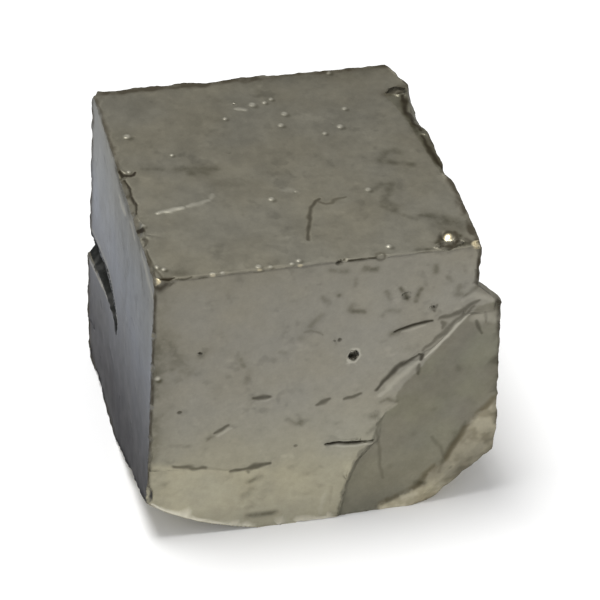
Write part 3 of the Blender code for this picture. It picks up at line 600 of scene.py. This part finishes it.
def chip_edges(points, random):
    """Small random flakes off the edges, then the nicks and the fresh facets that have places of their own."""
    for start, end, outwards, spacing, _, _ in edge_lines():
        start, end, outwards = (np.array(item, float) for item in (start, end, outwards))
        outwards /= np.linalg.norm(outwards)
        run = np.linalg.norm(end - start)
        way = (end - start) / run
        side = np.cross(way, outwards)
        for _ in range(int(run / spacing)):
            middle = start + way * random.uniform(0, run)
            depth = 0.015 + 0.08 * random.random() ** 3
            half = random.uniform(0.2, 0.5) + depth
            facing = outwards + side * random.uniform(-0.35, 0.35) + way * random.uniform(-0.2, 0.2)
            cut_flat(points, middle, facing, depth, half)
    for middle, facing, depth, half in NICKS:
        cut_flat(points, middle, facing, depth, half)
    for middle, depth, half, _ in GLINTS:
        cut_flat(points, middle, GLINT_FACING, depth, half, highest=0.0, flatness=6)
    return points


def step_height(across):
    """How high on the front the low step lies."""
    return np.interp(across, (-12.5, -10.6, -8.1, -5.7, -2.9, 3.0), (8.2, 7.6, 6.95, 6.4, 6.5, 6.0))


def ease_foot(points):
    """Wears down the low step across the front, and lets it die out to the right in an even slope."""
    foot = (points[:, 1] < FRONT + 0.2) & (points[:, 0] < 4.2)
    foot &= (points[:, 2] > 0.6) & (points[:, 2] < 8.8)
    where = np.nonzero(foot)[0]
    places = points[where][:, (0, 2)]
    below = step_height(places[:, 0]) + 0.6 - places[:, 1]
    eased = FRONT + 0.1 * smooth(below, 0.0, 3.0)
    share = np.interp(places[:, 0], (-12.2, -11.6, -3.6, -2.4), (0.0, 0.75, 0.75, 1.0)) * (below > 0)
    share *= smooth(-inside_distance(places, SCAR), 0.0, 0.5)
    points[where, 1] += share * (eased - points[where, 1])


def join_horn(points):
    """Lets the cube's front run on into the horn's without a step."""
    near_horn = (points[:, 1] < FRONT + 0.4) & (points[:, 0] > 11.6) & (points[:, 0] < 14.0)
    where = np.nonzero(near_horn & (points[:, 2] > 19.0) & (points[:, 2] < 22.6))[0]
    eased = FRONT + 0.12 * smooth(points[where, 0], 11.8, 13.4)
    low, high = smooth(points[where, 2], 19.0, 19.8), smooth(points[where, 2], 22.6, 22.0)
    points[where, 1] += low * high * (eased - points[where, 1])


def tilted_face(points, normals):
    """How far to raise each point for the small tilted face that stands in the top."""
    middle, half = TILTED
    where, places = members(points, normals, "top", 0.3)
    offset = places - np.array(middle)
    downhill = np.array(GLINT_FACING[:2]) / math.hypot(*GLINT_FACING[:2])
    uphill = -(offset @ downhill)
    reach = np.linalg.norm(offset, axis=1) / half
    lift = np.zeros(len(points))
    bow = 0.6 * (offset**2).sum(1)
    lift[where] = np.clip(0.5 * uphill - bow - 0.1, -0.3, 0.06) * (1 - smooth(reach, 1.0, 2.4))
    return lift


def whole_share(points, normals):
    """1 where the surface is a crystal's own face, 0 where it is a break."""
    whole = np.zeros(len(points))
    for face, (axis, way, plane, _, _) in FACES.items():
        depth = way * (plane - points[:, axis])
        level = (depth > -PROUDEST) & (depth < DEEPEST.get(face, USUAL_DEEPEST))
        whole = np.maximum(whole, level * smooth(way * normals[:, axis], 0.965, 0.993))
    return whole


def terraces(points, seed, size, levels):
    """Flat patches with narrow steps between them, as layers of growth leave."""
    height = layered(points, size, 3, seed) * levels
    level = np.floor(height)
    return level + smooth(height - level, 0.36, 0.64)


def mark_profiles(points, normals, table, tilt):
    """For each mark: its depth and strength, the points near it, and how far into it they are, from 0 to 1."""
    for face, line, width, depth, strength in table.values():
        where, places = members(points, normals, face, tilt)
        close = near(places, line, width)
        around = points[where[close]]
        wobble = np.stack((noise(around, 0.7, 73), noise(around, 0.7, 79)), axis=1)
        gap, along = line_distance(places[close] + 0.3 * width * wobble, line)
        taper = 0.5 + 0.5 * np.sin(math.pi * (0.06 + 0.88 * along))
        wander = 1 + 0.3 * noise(around, 0.5, 71)
        yield depth, strength, where[close], 1 - smooth(gap / (width * taper * wander), 0.1, 1.2)


def grooves(points, normals, table, sign):
    """How far cracks press the surface in, or ridges raise it."""
    press = np.zeros(len(points))
    for depth, _, where, share in mark_profiles(points, normals, table, 0.6):
        press[where] = np.maximum(press[where], depth * share)
    return sign * press


def hole_share(points, normals, tilt):
    """For each hole: its depth, the points near it, and how far into it they are, from 0 to 1."""
    for face, middle, halves, depth in HOLES:
        where, places = members(points, normals, face, tilt)
        ragged = 1 + 0.25 * noise(points[where], 0.35, 91)
        share = np.linalg.norm((places - np.array(middle)) / np.array(halves), axis=1) * ragged
        yield depth, where, share


def pitting(points, normals, random):
    """Small round pits and short scratches strewn over every face, and the larger holes."""
    press = np.zeros(len(points))
    for face, amount in (("front", 40), ("top", 26), ("left", 24), ("back", 60), ("right", 40), ("second", 36)):
        where, places = members(points, normals, face)
        low = places.min(0)
        high = places.max(0)
        for _ in range(amount):
            middle = random.uniform(low, high)
            radius = 0.08 + 0.12 * random.random() ** 2
            depth = radius * random.uniform(0.12, 0.3)
            close = near(places, (middle,), radius)
            share = np.linalg.norm(places[close] - middle, axis=1) / radius
            press[where[close]] = np.maximum(press[where[close]], depth * (1 - smooth(share, 0.2, 1.0)))
        for _ in range(amount // 2):
            middle = random.uniform(low, high)
            angle = random.normal(0.35, 0.5)
            half = np.array((math.cos(angle), math.sin(angle))) * random.uniform(0.25, 0.9)
            line = (middle - half, middle + half)
            width = random.uniform(0.08, 0.14)
            close = near(places, line, width)
            gap, _ = line_distance(places[close], line)
            press[where[close]] = np.maximum(press[where[close]], 0.02 * (1 - smooth(gap / width, 0.2, 1.0)))
    for depth, where, share in hole_share(points, normals, 0.3):
        press[where] = np.maximum(press[where], depth * (1 - smooth(share, 0.35, 1.0)))
    return press


def weathered(mesh, random):
    """Shapes the fine mesh: chips first, then everything that presses in or stands up a little."""
    points = chip_edges(vectors(mesh.vertices, "co"), random)
    ease_foot(points)
    join_horn(points)
    put_positions(mesh, points)
    normals = vectors(mesh.vertex_normals, "vector")
    whole = whole_share(points, normals)
    base = smooth(-normals[:, 2], 0.7, 0.95)

    swell = 0.025 * layered(points, 7.0, 2, 3)
    layers = 0.008 * terraces(points, 11, 5.0, 2.2)
    hidden = np.maximum(smooth(normals[:, 1], 0.7, 0.95), smooth(normals[:, 0], 0.7, 0.95))
    layers += hidden * 0.03 * terraces(points * np.array((1.0, 1.0, 2.2)), 23, 7.0, 2.5)
    grain = 0.005 * layered(points, 0.6, 2, 31)
    ridged = 1 - np.abs(layered(points, 1.7, 3, 41))
    fracture = 0.1 * (ridged - 0.6) + 0.04 * noise(points, 0.45, 47)

    lift = whole * (swell + layers - INSET) + grain + (1 - whole) * fracture + tilted_face(points, normals)
    lift += grooves(points, normals, RIDGES, 1) + grooves(points, normals, CRACKS, -1)
    lift -= pitting(points, normals, random)
    for face, middle, across in SPECKS:
        where, places = members(points, normals, face)
        share = np.linalg.norm(places - np.array(middle), axis=1) / (across * 0.5)
        lift[where] += across * 0.16 * (1 - smooth(share, 0.0, 1.0))
    where, places = members(points, normals, "top")
    lift[where] -= 0.08 * smooth(inside_distance(places, STRIP), 0.0, 1.0)
    lift = np.where(base > 0, np.minimum(lift * (1 - 0.9 * base), 0), lift)
    put_positions(mesh, np.clip(points + normals * lift[:, None], LOW, HIGH))


# ---------------------------------------------------------------- what the material reads


def neighbours_mean(ends, values):
    """Each vertex's mean over the vertices that it shares an edge with."""
    count = np.bincount(ends.ravel(), minlength=len(values))
    total = np.empty_like(values)
    for axis in range(3):
        total[:, axis] = np.bincount(ends[:, 0], values[ends[:, 1], axis], len(values))
        total[:, axis] += np.bincount(ends[:, 1], values[ends[:, 0], axis], len(values))
    return total / count[:, None]


def hollowness(mesh, points, normals, rounds=6):
    """How deep each point lies in its surroundings, in millimetres; on edges it is negative."""
    ends = np.empty(len(mesh.edges) * 2, np.int32)
    mesh.edges.foreach_get("vertices", ends)
    ends = ends.reshape(-1, 2)
    eased = points
    for _ in range(rounds):
        eased = (eased + neighbours_mean(ends, eased)) / 2
    return np.einsum("ij,ij->i", eased - points, normals)


def shape_values(mesh):
    """The fields that need the even mesh, from before it is thinned out."""
    points = vectors(mesh.vertices, "co")
    normals = vectors(mesh.vertex_normals, "vector")
    return {"hollow": hollowness(mesh, points, normals), "whole": whole_share(points, normals)}


def place_values(mesh):
    """The fields that come from where a point lies."""
    points = vectors(mesh.vertices, "co")
    normals = vectors(mesh.vertex_normals, "vector")
    values = {}

    for name, face, outline, tilt, deepest in (
        ("scar", "front", SCAR, 0.3, 2.0),
        ("facet", "front", FACETS, 0.0, 6.0),
        ("strip", "top", STRIP, 0.0, 2.0),
        ("gash", "left", GASH, -1.1, 6.0),
    ):
        values[name] = np.full(len(points), -2.0)
        where, places = members(points, normals, face, tilt, deepest)
        values[name][where] = np.clip(inside_distance(places, outline), -2, 2)

    foot = np.zeros(len(points))
    where, places = members(points, normals, "front", 0.5)
    sharpness = np.interp(places[:, 0], (-4.0, -1.0), (0.4, 1.6))
    foot[where] = smooth((step_height(places[:, 0]) - places[:, 1]) / sharpness, -0.6, 1.0)
    values["foot"] = foot

    values["stain"] = np.zeros(len(points))
    for face, line, spread, strength in STAINS:
        where, places = members(points, normals, face, 0.3)
        gap, _ = line_distance(places, line)
        values["stain"][where] += strength * np.exp(-((gap / spread) ** 2))
    for name, table in (("crack", CRACKS), ("ridge", RIDGES)):
        values[name] = np.zeros(len(points))
        for _, strength, where, share in mark_profiles(points, normals, table, 0.3):
            values[name][where] = np.maximum(values[name][where], strength * share)

    values["hole"] = np.zeros(len(points))
    values["rim"] = np.zeros(len(points))
    # Holes are painted darker the deeper they are, as painted shade, and deep ones get a paler rim, partly a painted
    # highlight
    for depth, where, share in hole_share(points, normals, 0.0):
        darkness = min(0.35 + 2 * depth, 1)
        values["hole"][where] = np.maximum(values["hole"][where], darkness * (1 - smooth(share, 0.6, 1.05)))
        around = smooth(share, 0.85, 1.1) * (1 - smooth(share, 1.15, 1.5))
        values["rim"][where] = np.maximum(values["rim"][where], around * smooth(depth, 0.3, 0.45))

    # Grime round the fresh metal, partly painted shade in its crevices
    values["grime_and_shade"] = np.zeros(len(points))
    for face, line, spread, strength in GRIME_AND_CREVICE_SHADE:
        where, places = members(points, normals, face, 0.0)
        gap, _ = line_distance(places, line)
        values["grime_and_shade"][where] = np.maximum(values["grime_and_shade"][where], strength * np.exp(-((gap / spread) ** 2)))

    values["fresh"] = np.zeros(len(points))
    for middle, depth, half, shine in GLINTS:
        gap = np.linalg.norm(points - np.array(middle), axis=1)
        values["fresh"] = np.maximum(values["fresh"], shine * (1 - smooth(gap / (half + depth), 0.5, 1.0)))
    middle, half = TILTED
    where, places = members(points, normals, "top", 0.3)
    gap = np.linalg.norm(places - np.array(middle), axis=1)
    values["fresh"][where] = np.maximum(values["fresh"][where], 0.8 * (1 - smooth(gap / half, 0.4, 1.1)))

    # Specks painted pale, partly as a highlight, and a painted shadow crescent below and to the right of each
    values["speck"] = np.zeros(len(points))
    values["shadow"] = np.zeros(len(points))
    for face, middle, across in SPECKS:
        where, places = members(points, normals, face, 0.3)
        offset = (places - np.array(middle)) / (across * 0.5)
        share = np.linalg.norm(offset, axis=1)
        values["speck"][where] = np.maximum(values["speck"][where], 1 - smooth(share, 0.1, 1.0))
        below = np.linalg.norm(offset - np.array((0.5, -0.9)), axis=1)
        shadow = (1 - smooth(below, 0.2, 1.2)) * smooth(share, 0.5, 1.1)
        values["shadow"][where] = np.maximum(values["shadow"][where], shadow)

    # Grime and painted shade along the crystals' edges
    values["edge"] = np.zeros(len(points))
    values["edge_dark"] = np.zeros(len(points))
    for start, end, _, _, width, darkness in edge_lines():
        start, end = np.array(start, float), np.array(end, float)
        run = np.linalg.norm(end - start)
        way = (end - start) / run
        reach = np.clip((points - start) @ way, 0, run)
        gap = np.linalg.norm(points - start - reach[:, None] * way, axis=1)
        gap = np.maximum(gap - INSET, 0) * (1 + 0.4 * noise(points, 0.9, 83))
        values["edge"] = np.maximum(values["edge"], 1 - smooth(gap, 0.08, 0.3))
        values["edge_dark"] = np.maximum(values["edge_dark"], darkness * (1 - smooth(gap / width, 0.5, 1.2)))

    where, places = members(points, normals, "left", -1.1, 6.0)
    walls = (points[where, 0] > LEFT + 0.05) & (inside_distance(places, GASH) > -1.2)
    walls &= (normals[where, 2] > 0.3) | ((places[:, 0] < 11.0) & (points[where, 0] > LEFT + 0.25))
    values["gash"][where[walls]] = np.maximum(values["gash"][where[walls]], 0.1)

    # A painted highlight along the rim of the front's lower left edge
    values["rim_highlight"] = np.zeros(len(points))
    where, places = members(points, normals, "front", 0.2)
    gap, _ = line_distance(places, RIM)
    values["rim_highlight"][where] = 1 - smooth(gap * (1 + 0.4 * noise(points[where], 0.8, 89)), 0.04, 0.17)

    values["left"] = smooth(-normals[:, 0], 0.6, 0.9)
    values["upper"] = smooth(normals[:, 2], 0.6, 0.9)
    return values


def store(mesh, values):
    for name, numbers in values.items():
        attribute = mesh.attributes.new(name, "FLOAT", "POINT")
        attribute.data.foreach_set("value", numbers.astype(np.float32))


# ---------------------------------------------------------------- the material


class Nodes:
    """Short ways to add shader nodes to one material."""

    def __init__(self, tree):
        self.tree = tree
        self.place = self.add("ShaderNodeTexCoord").outputs["Object"]
        split = self.add("ShaderNodeSeparateXYZ", {"Vector": self.place})
        self.across, self.away, self.rise = split.outputs

    def add(self, kind, inputs=None, **settings):
        node = self.tree.nodes.new(kind)
        for name, value in settings.items():
            setattr(node, name, value)
        for name, value in (inputs or {}).items():
            if isinstance(value, bpy.types.NodeSocket):
                self.tree.links.new(value, node.inputs[name])
            else:
                node.inputs[name].default_value = value
        return node

    def field(self, name):
        return self.add("ShaderNodeAttribute", attribute_name=name).outputs["Fac"]

    def noise(self, size, seed, detail=3.0):
        """Noise around 0.5 whose bumps are about one size in millimetres."""
        inputs = {"Vector": self.place, "W": seed, "Scale": 1 / (size * MM), "Detail": detail}
        return self.add("ShaderNodeTexNoise", inputs, noise_dimensions="4D").outputs["Fac"]

    def streaks(self, across, along, seed):
        """Noise around 0.5 whose bumps are drawn out upwards, in millimetres."""
        scale = (1 / (across * MM), 1 / (across * MM), 1 / (along * MM))
        drawn = self.add("ShaderNodeVectorMath", {0: self.place, 1: scale}, operation="MULTIPLY")
        inputs = {"Vector": drawn.outputs["Vector"], "W": seed, "Scale": 1.0, "Detail": 2.0}
        return self.add("ShaderNodeTexNoise", inputs, noise_dimensions="4D").outputs["Fac"]

    def math(self, operation, one, two=0.0):
        return self.add("ShaderNodeMath", {0: one, 1: two}, operation=operation).outputs[0]

    def times(self, one, *others):
        for other in others:
            one = self.math("MULTIPLY", one, other)
        return one

    def span(self, value, low, high, to_low=0.0, to_high=1.0):
        """Carries a value smoothly from one range to another, and holds it at the ends."""
        inputs = {"Value": value, "From Min": low, "From Max": high, "To Min": to_low, "To Max": to_high}
        return self.add("ShaderNodeMapRange", inputs, interpolation_type="SMOOTHSTEP").outputs["Result"]

    def mix(self, share, one, two):
        return self.add("ShaderNodeMix", {"Factor": share, 6: one, 7: two}, data_type="RGBA").outputs[2]

    def shade(self, tone, share):
        """A colour made darker or lighter."""
        inputs = {0: tone, "Scale": share}
        return self.add("ShaderNodeVectorMath", inputs, operation="SCALE").outputs["Vector"]

    def blend(self, share, one, two):
        """A mix of plain numbers."""
        return self.add("ShaderNodeMix", {"Factor": share, 2: one, 3: two}, data_type="FLOAT").outputs[0]

    def ramp(self, value, stops):
        """Colours at given values, with even changes between them."""
        node = self.add("ShaderNodeValToRGB", {"Fac": value})
        elements = node.color_ramp.elements
        while len(elements) < len(stops):
            elements.new(0.5)
        for element, (place, tone) in zip(elements, stops):
            element.position = place
            element.color = tone
        return node.outputs["Color"]


def colour(red, green, blue):
    return (red, green, blue, 1.0)


# What a face's colour is at shares of the whole height, from the ground up. The changes with height are painted
# light: the front grows lighter towards the ground as a painted reflection of the bright floor, and the left face
# grows darker towards the ground as painted shade
FRONT_REFLECTION_TONES = (
    (0.04, colour(0.41, 0.387, 0.296)),
    (0.2, colour(0.325, 0.309, 0.236)),
    (0.33, colour(0.285, 0.272, 0.215)),
    (0.5, colour(0.252, 0.241, 0.2)),
    (0.75, colour(0.23, 0.219, 0.182)),
    (1.0, colour(0.226, 0.213, 0.172)),
)
LEFT_SHADE_TONES = (
    (0.0, colour(0.04, 0.039, 0.041)),
    (0.12, colour(0.043, 0.042, 0.046)),
    (0.22, colour(0.059, 0.059, 0.064)),
    (0.33, colour(0.093, 0.095, 0.102)),
    (0.45, colour(0.138, 0.143, 0.156)),
    (0.62, colour(0.2, 0.212, 0.235)),
    (0.8, colour(0.218, 0.228, 0.235)),
    (1.0, colour(0.2, 0.2, 0.18)),
)
TOP_TONE = colour(0.218, 0.206, 0.162)
# The front's paler foot, a painted reflection of the bright floor
FOOT_REFLECTION_TONE = colour(0.4, 0.375, 0.275)
SCAR_SHADE_GREY = colour(0.193, 0.182, 0.145)
SCAR_SHADE_GREEN = colour(0.202, 0.197, 0.148)
SCAR_FOOT_REFLECTION = colour(0.232, 0.222, 0.17)
FACET_PALE = colour(0.35, 0.325, 0.245)
FACET_BROWN = colour(0.25, 0.228, 0.165)
BORDER_SHADOW_BROWN = colour(0.12, 0.103, 0.065)
STRIP_SHADE_TONE = colour(0.13, 0.124, 0.085)
STRIP_DEEP_SHADE = colour(0.06, 0.057, 0.036)
DIRT_AND_SHADE_OLIVE = colour(0.058, 0.05, 0.024)
SOOT_AND_SHADE = colour(0.016, 0.012, 0.007)
GASH_SHADE_DARK = colour(0.013, 0.0145, 0.014)
GASH_SHADE_GREY = colour(0.05, 0.051, 0.049)
GRIME_AND_SHADE_BROWN = colour(0.035, 0.028, 0.015)
STAIN_AND_SHADOW_BROWN = colour(0.055, 0.05, 0.03)
BRASS = colour(0.8, 0.69, 0.45)
PALE_METAL_AND_HIGHLIGHT = colour(0.52, 0.5, 0.42)
RIM_HIGHLIGHT = colour(0.8, 0.77, 0.66)
WARM = colour(1.015, 1.0, 0.975)
COOL = colour(0.99, 0.995, 1.02)
TARNISH_EDGE = (0.45, 0.45, 0.45, 1.0)


def pyrite_material():
    material = bpy.data.materials.new("weathered_pyrite")
    material.use_nodes = True
    tree = material.node_tree
    shader = tree.nodes["Principled BSDF"]
    n = Nodes(tree)

    broad = n.noise(4.5, 1.0, 2.0)
    middle = n.noise(1.4, 2.0, 3.0)
    fine = n.noise(0.45, 3.0, 3.0)
    grain = n.noise(0.16, 4.0, 2.0)
    ragged = n.math("SUBTRACT", n.noise(0.7, 5.0, 4.0), 0.5)
    rise = n.math("DIVIDE", n.rise, HEIGHT * MM)

    # The crystal faces
    # The front, lighter towards the ground as a painted reflection of the floor
    surface = n.ramp(rise, FRONT_REFLECTION_TONES)
    surface = n.shade(surface, n.span(n.across, -14.0 * MM, 12.0 * MM, 0.93, 1.07))
    top = n.shade(TOP_TONE[:3], n.span(n.away, 10.0 * MM, -12.0 * MM, 0.96, 1.1))
    surface = n.mix(n.field("upper"), surface, top)
    # The paler foot of the front, a painted reflection of the floor
    surface = n.mix(n.times(n.field("foot"), n.span(middle, 0.2, 0.6, 0.3, 0.6)), surface, FOOT_REFLECTION_TONE)
    # The left face: painted shade, darker towards the ground, and a bluish painted reflection higher up; it is also
    # lighter towards the back
    left = n.ramp(rise, LEFT_SHADE_TONES)
    left = n.shade(left, n.span(n.away, -4.0 * MM, 9.0 * MM, 1.0, 1.3))
    streaks = n.streaks(1.5, 14.0, 8.0)
    left = n.shade(left, n.span(streaks, 0.3, 0.7, 0.94, 1.06))
    surface = n.mix(n.field("left"), surface, left)

    # Soft smudges on the front face
    smudge = n.times(n.span(n.noise(1.1, 9.0, 2.0), 0.52, 0.72), n.span(n.noise(3.5, 10.0, 1.0), 0.4, 0.6))
    surface = n.shade(surface, n.span(smudge, 0.0, 1.0, 1.0, 0.84))
    light = n.times(n.span(n.noise(1.3, 11.0, 2.0), 0.55, 0.75), n.span(n.noise(3.0, 12.0, 1.0), 0.4, 0.6))
    surface = n.shade(surface, n.span(light, 0.0, 1.0, 1.0, 1.12))

    # The scar, its facets and the chipped strip, each with a ragged edge
    # The scar is painted darker than the face, as the shade of a break that faces away from the light, and lighter
    # towards the ground as a painted reflection of the floor
    in_scar = n.span(n.math("ADD", n.field("scar"), n.times(ragged, 0.5)), -0.12, 0.16)
    scar = n.mix(n.span(n.noise(4.0, 6.0, 2.0), 0.35, 0.65), SCAR_SHADE_GREY, SCAR_SHADE_GREEN)
    scar = n.mix(n.span(rise, 0.4, 0.05), scar, SCAR_FOOT_REFLECTION)
    surface = n.mix(in_scar, surface, scar)
    in_facet = n.span(n.math("ADD", n.field("facet"), n.times(ragged, 0.9)), -0.2, 0.35)
    facet = n.mix(n.span(n.noise(1.5, 7.0, 2.0), 0.4, 0.6), FACET_BROWN, FACET_PALE)
    # Facets lighter towards the ground, a painted reflection of the floor
    facet = n.shade(facet, n.span(rise, 0.12, 0.0, 0.85, 1.9))
    facet = n.shade(facet, n.span(rise, 0.2, 0.33, 1.0, 1.28))
    surface = n.mix(in_facet, surface, facet)
    # A painted shadow line along the inner border of the facets
    facet_border_shadow = n.times(n.span(n.field("facet"), -0.5, 0.0), n.span(n.field("facet"), 0.5, 0.1))
    surface = n.mix(n.times(facet_border_shadow, n.span(middle, 0.35, 0.55), 0.8), surface, BORDER_SHADOW_BROWN)
    # The chipped strip is painted dark, as the shade of a chip face tilted away from the light
    in_strip = n.span(n.math("ADD", n.field("strip"), n.times(ragged, 0.3)), -0.05, 0.1)
    strip = n.mix(n.span(n.noise(0.9, 13.0, 2.0), 0.4, 0.6), STRIP_DEEP_SHADE, STRIP_SHADE_TONE)
    surface = n.mix(n.times(in_strip, 0.55), surface, strip)

    # Mottling, faint warm and cool patches, stains and the specks' painted shadows
    surface = n.shade(surface, n.span(middle, 0.25, 0.75, 0.93, 1.06))
    surface = n.shade(surface, n.span(fine, 0.25, 0.75, 0.95, 1.04))
    surface = n.shade(surface, n.span(grain, 0.2, 0.8, 0.97, 1.03))
    tint = n.mix(n.span(broad, 0.3, 0.7), WARM, COOL)
    surface = n.add("ShaderNodeVectorMath", {0: surface, 1: tint}, operation="MULTIPLY").outputs["Vector"]
    stain = n.times(n.field("stain"), n.span(n.noise(0.6, 14.0, 3.0), 0.35, 0.65, 0.65, 1.25))
    # The specks' painted shadows are added to the stains
    stain = n.math("ADD", stain, n.times(n.field("shadow"), 0.45))
    surface = n.mix(n.math("MINIMUM", n.times(stain, 1.1), 0.85), surface, STAIN_AND_SHADOW_BROWN)

    # Ridges and specks painted pale, partly as painted highlights, the rim's painted highlight, fresh chips, and
    # grime and painted shade along the edges
    surface = n.mix(n.times(n.field("ridge"), 0.6), surface, PALE_METAL_AND_HIGHLIGHT)
    surface = n.mix(n.times(n.field("speck"), 0.6), surface, PALE_METAL_AND_HIGHLIGHT)
    surface = n.mix(n.times(n.field("rim"), 0.5), surface, PALE_METAL_AND_HIGHLIGHT)
    surface = n.mix(n.times(n.field("rim_highlight"), 0.65), surface, RIM_HIGHLIGHT)
    fresh = n.field("fresh")
    grime_and_shade = n.math("ADD", n.field("grime_and_shade"), n.times(ragged, 0.4, n.field("grime_and_shade")))
    edge = n.field("edge")
    edge_grime_and_shade = n.times(n.field("edge_dark"), n.span(middle, 0.35, 0.6, 0.5, 1.1))
    grime_and_shade = n.math("MINIMUM", n.math("MAXIMUM", grime_and_shade, edge_grime_and_shade), 1.0)
    grime_and_shade = n.times(grime_and_shade, n.math("SUBTRACT", 1.0, fresh))
    surface = n.mix(n.times(grime_and_shade, 0.92), surface, GRIME_AND_SHADE_BROWN)
    surface = n.mix(fresh, surface, BRASS)

    # Dirt and painted shade in cracks, holes and hollows
    crack = n.span(n.math("ADD", n.field("crack"), n.times(ragged, 0.25, n.field("crack"))), 0.05, 1.0)
    dirt_and_shade = n.math("MAXIMUM", crack, n.field("hole"))
    # Painted shade in hollows, darker the deeper the hollow
    dirt_and_shade = n.math("MAXIMUM", dirt_and_shade, n.span(n.field("hollow"), 0.05, 0.13, 0.0, 0.55))
    surface = n.mix(n.times(dirt_and_shade, 0.95), surface, n.mix(dirt_and_shade, DIRT_AND_SHADE_OLIVE, SOOT_AND_SHADE))
    # The gash is painted near black inside, as the shade in the cut
    in_gash = n.span(n.math("ADD", n.field("gash"), n.times(ragged, 0.15)), -0.05, 0.1)
    gash = n.mix(n.span(n.noise(1.3, 15.0, 2.0), 0.4, 0.6), GASH_SHADE_DARK, GASH_SHADE_GREY)
    surface = n.mix(n.times(in_gash, 0.97), surface, gash)
    dirt_and_shade = n.math("MAXIMUM", dirt_and_shade, in_gash)

    rough = n.span(middle, 0.3, 0.7, 0.38, 0.46)
    rough = n.blend(in_scar, rough, 0.5)
    rough = n.blend(edge, rough, 0.8)
    rough = n.blend(n.field("speck"), rough, 0.42)
    rough = n.blend(grime_and_shade, rough, 0.65)
    rough = n.blend(fresh, rough, 0.28)
    rough = n.blend(dirt_and_shade, rough, 0.8)
    metal = n.blend(n.times(edge, n.math("SUBTRACT", 1.0, fresh)), 0.9, 0.45)
    metal = n.blend(n.math("MAXIMUM", dirt_and_shade, grime_and_shade), metal, 0.25)

    height = n.math("ADD", n.times(fine, 0.7), n.times(grain, 0.4))
    strength = n.span(fresh, 0.0, 1.0, 0.3, 0.05)
    bump = n.add("ShaderNodeBump", {"Height": height, "Strength": strength, "Distance": 0.03 * MM})

    links = tree.links
    links.new(surface, shader.inputs["Base Color"])
    links.new(rough, shader.inputs["Roughness"])
    links.new(metal, shader.inputs["Metallic"])
    links.new(bump.outputs["Normal"], shader.inputs["Normal"])
    links.new(n.span(dirt_and_shade, 0.0, 1.0, 0.5, 0.15), shader.inputs["Specular IOR Level"])
    shader.inputs["Specular Tint"].default_value = TARNISH_EDGE
    return material


# ---------------------------------------------------------------- the stage

# Where the camera stands, in millimetres, which way it looks, and its lens
CAMERA_PLACE = (-59.046, -215.876, 194.682)
CAMERA_AZIMUTH = math.radians(15.80)
CAMERA_ELEVATION = math.radians(39.066)
CAMERA_ROLL = math.radians(3.691)
CAMERA_LENS = 220.19
CAMERA_SENSOR = 36.0

FLOOR_SIZE = 3.0
FLOOR_COLOUR = colour(0.9, 0.9, 0.9)
HORIZON = 0.8
ZENITH = 0.5
KEY_PLACE = Vector((-0.1, 0.01, 0.5))
KEY_SIZE = 0.2
KEY_POWER = 2.0


def camera():
    flat = Vector((math.cos(CAMERA_AZIMUTH), -math.sin(CAMERA_AZIMUTH), 0))
    away = Vector((math.sin(CAMERA_AZIMUTH), math.cos(CAMERA_AZIMUTH), 0))
    back = Vector((0, 0, 1)) * math.sin(CAMERA_ELEVATION) - away * math.cos(CAMERA_ELEVATION)
    up = back.cross(flat)
    right = flat * math.cos(CAMERA_ROLL) + up * math.sin(CAMERA_ROLL)
    data = bpy.data.cameras.new("camera")
    data.sensor_width = CAMERA_SENSOR
    data.lens = CAMERA_LENS
    data.clip_start = 0.01
    thing = link(bpy.data.objects.new("camera", data))
    axes = Matrix((right, back.cross(right), back)).transposed()
    thing.matrix_world = Matrix.Translation(Vector(CAMERA_PLACE) * MM) @ axes.to_4x4()
    bpy.context.scene.camera = thing


def floor():
    half = FLOOR_SIZE / 2
    corners = [(-half, -half, 0), (half, -half, 0), (half, half, 0), (-half, half, 0)]
    mesh = bpy.data.meshes.new("floor")
    mesh.from_pydata(corners, [], [(0, 1, 2, 3)])
    material = bpy.data.materials.new("floor")
    material.use_nodes = True
    shader = material.node_tree.nodes["Principled BSDF"]
    shader.inputs["Base Color"].default_value = FLOOR_COLOUR
    shader.inputs["Roughness"].default_value = 1.0
    shader.inputs["Specular IOR Level"].default_value = 0.0
    mesh.materials.append(material)
    link(bpy.data.objects.new("floor", mesh))


def lights():
    world = bpy.data.worlds.new("studio")
    bpy.context.scene.world = world
    world.use_nodes = True
    tree = world.node_tree
    coordinate = tree.nodes.new("ShaderNodeTexCoord")
    split = tree.nodes.new("ShaderNodeSeparateXYZ")
    ramp = tree.nodes.new("ShaderNodeMapRange")
    tree.links.new(coordinate.outputs["Generated"], split.inputs[0])
    tree.links.new(split.outputs["Z"], ramp.inputs["Value"])
    ramp.inputs["From Min"].default_value = 0.0
    ramp.inputs["From Max"].default_value = 1.0
    ramp.inputs["To Min"].default_value = HORIZON
    ramp.inputs["To Max"].default_value = ZENITH
    background = tree.nodes["Background"]
    tree.links.new(ramp.outputs["Result"], background.inputs["Strength"])
    background.inputs["Color"].default_value = colour(1.0, 1.0, 1.0)

    data = bpy.data.lights.new("key", "AREA")
    data.shape = "DISK"
    data.size = KEY_SIZE
    data.energy = KEY_POWER
    key = link(bpy.data.objects.new("key", data))
    key.location = KEY_PLACE
    key.rotation_euler = (Vector((0, 0, 0.012)) - KEY_PLACE).to_track_quat("-Z", "Y").to_euler()
    bpy.context.scene.view_settings.view_transform = "Standard"


# ---------------------------------------------------------------- put together

random = np.random.default_rng(7)
crystal = fine_copy(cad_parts[NODE])
weathered(crystal.data, random)
store(crystal.data, shape_values(crystal.data))
thin_out(crystal)
store(crystal.data, place_values(crystal.data))
crystal.data.transform(Matrix.Scale(MM, 4))
crystal.data.shade_smooth()
crystal.data.set_sharp_from_angle(angle=SHARP)
even = crystal.modifiers.new("even_shading", "WEIGHTED_NORMAL")
even.keep_sharp = True
take_modified(crystal)
crystal.data.materials.clear()
crystal.data.materials.append(pyrite_material())

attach(crystal, "root")
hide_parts(NODE)

camera()
floor()
lights()
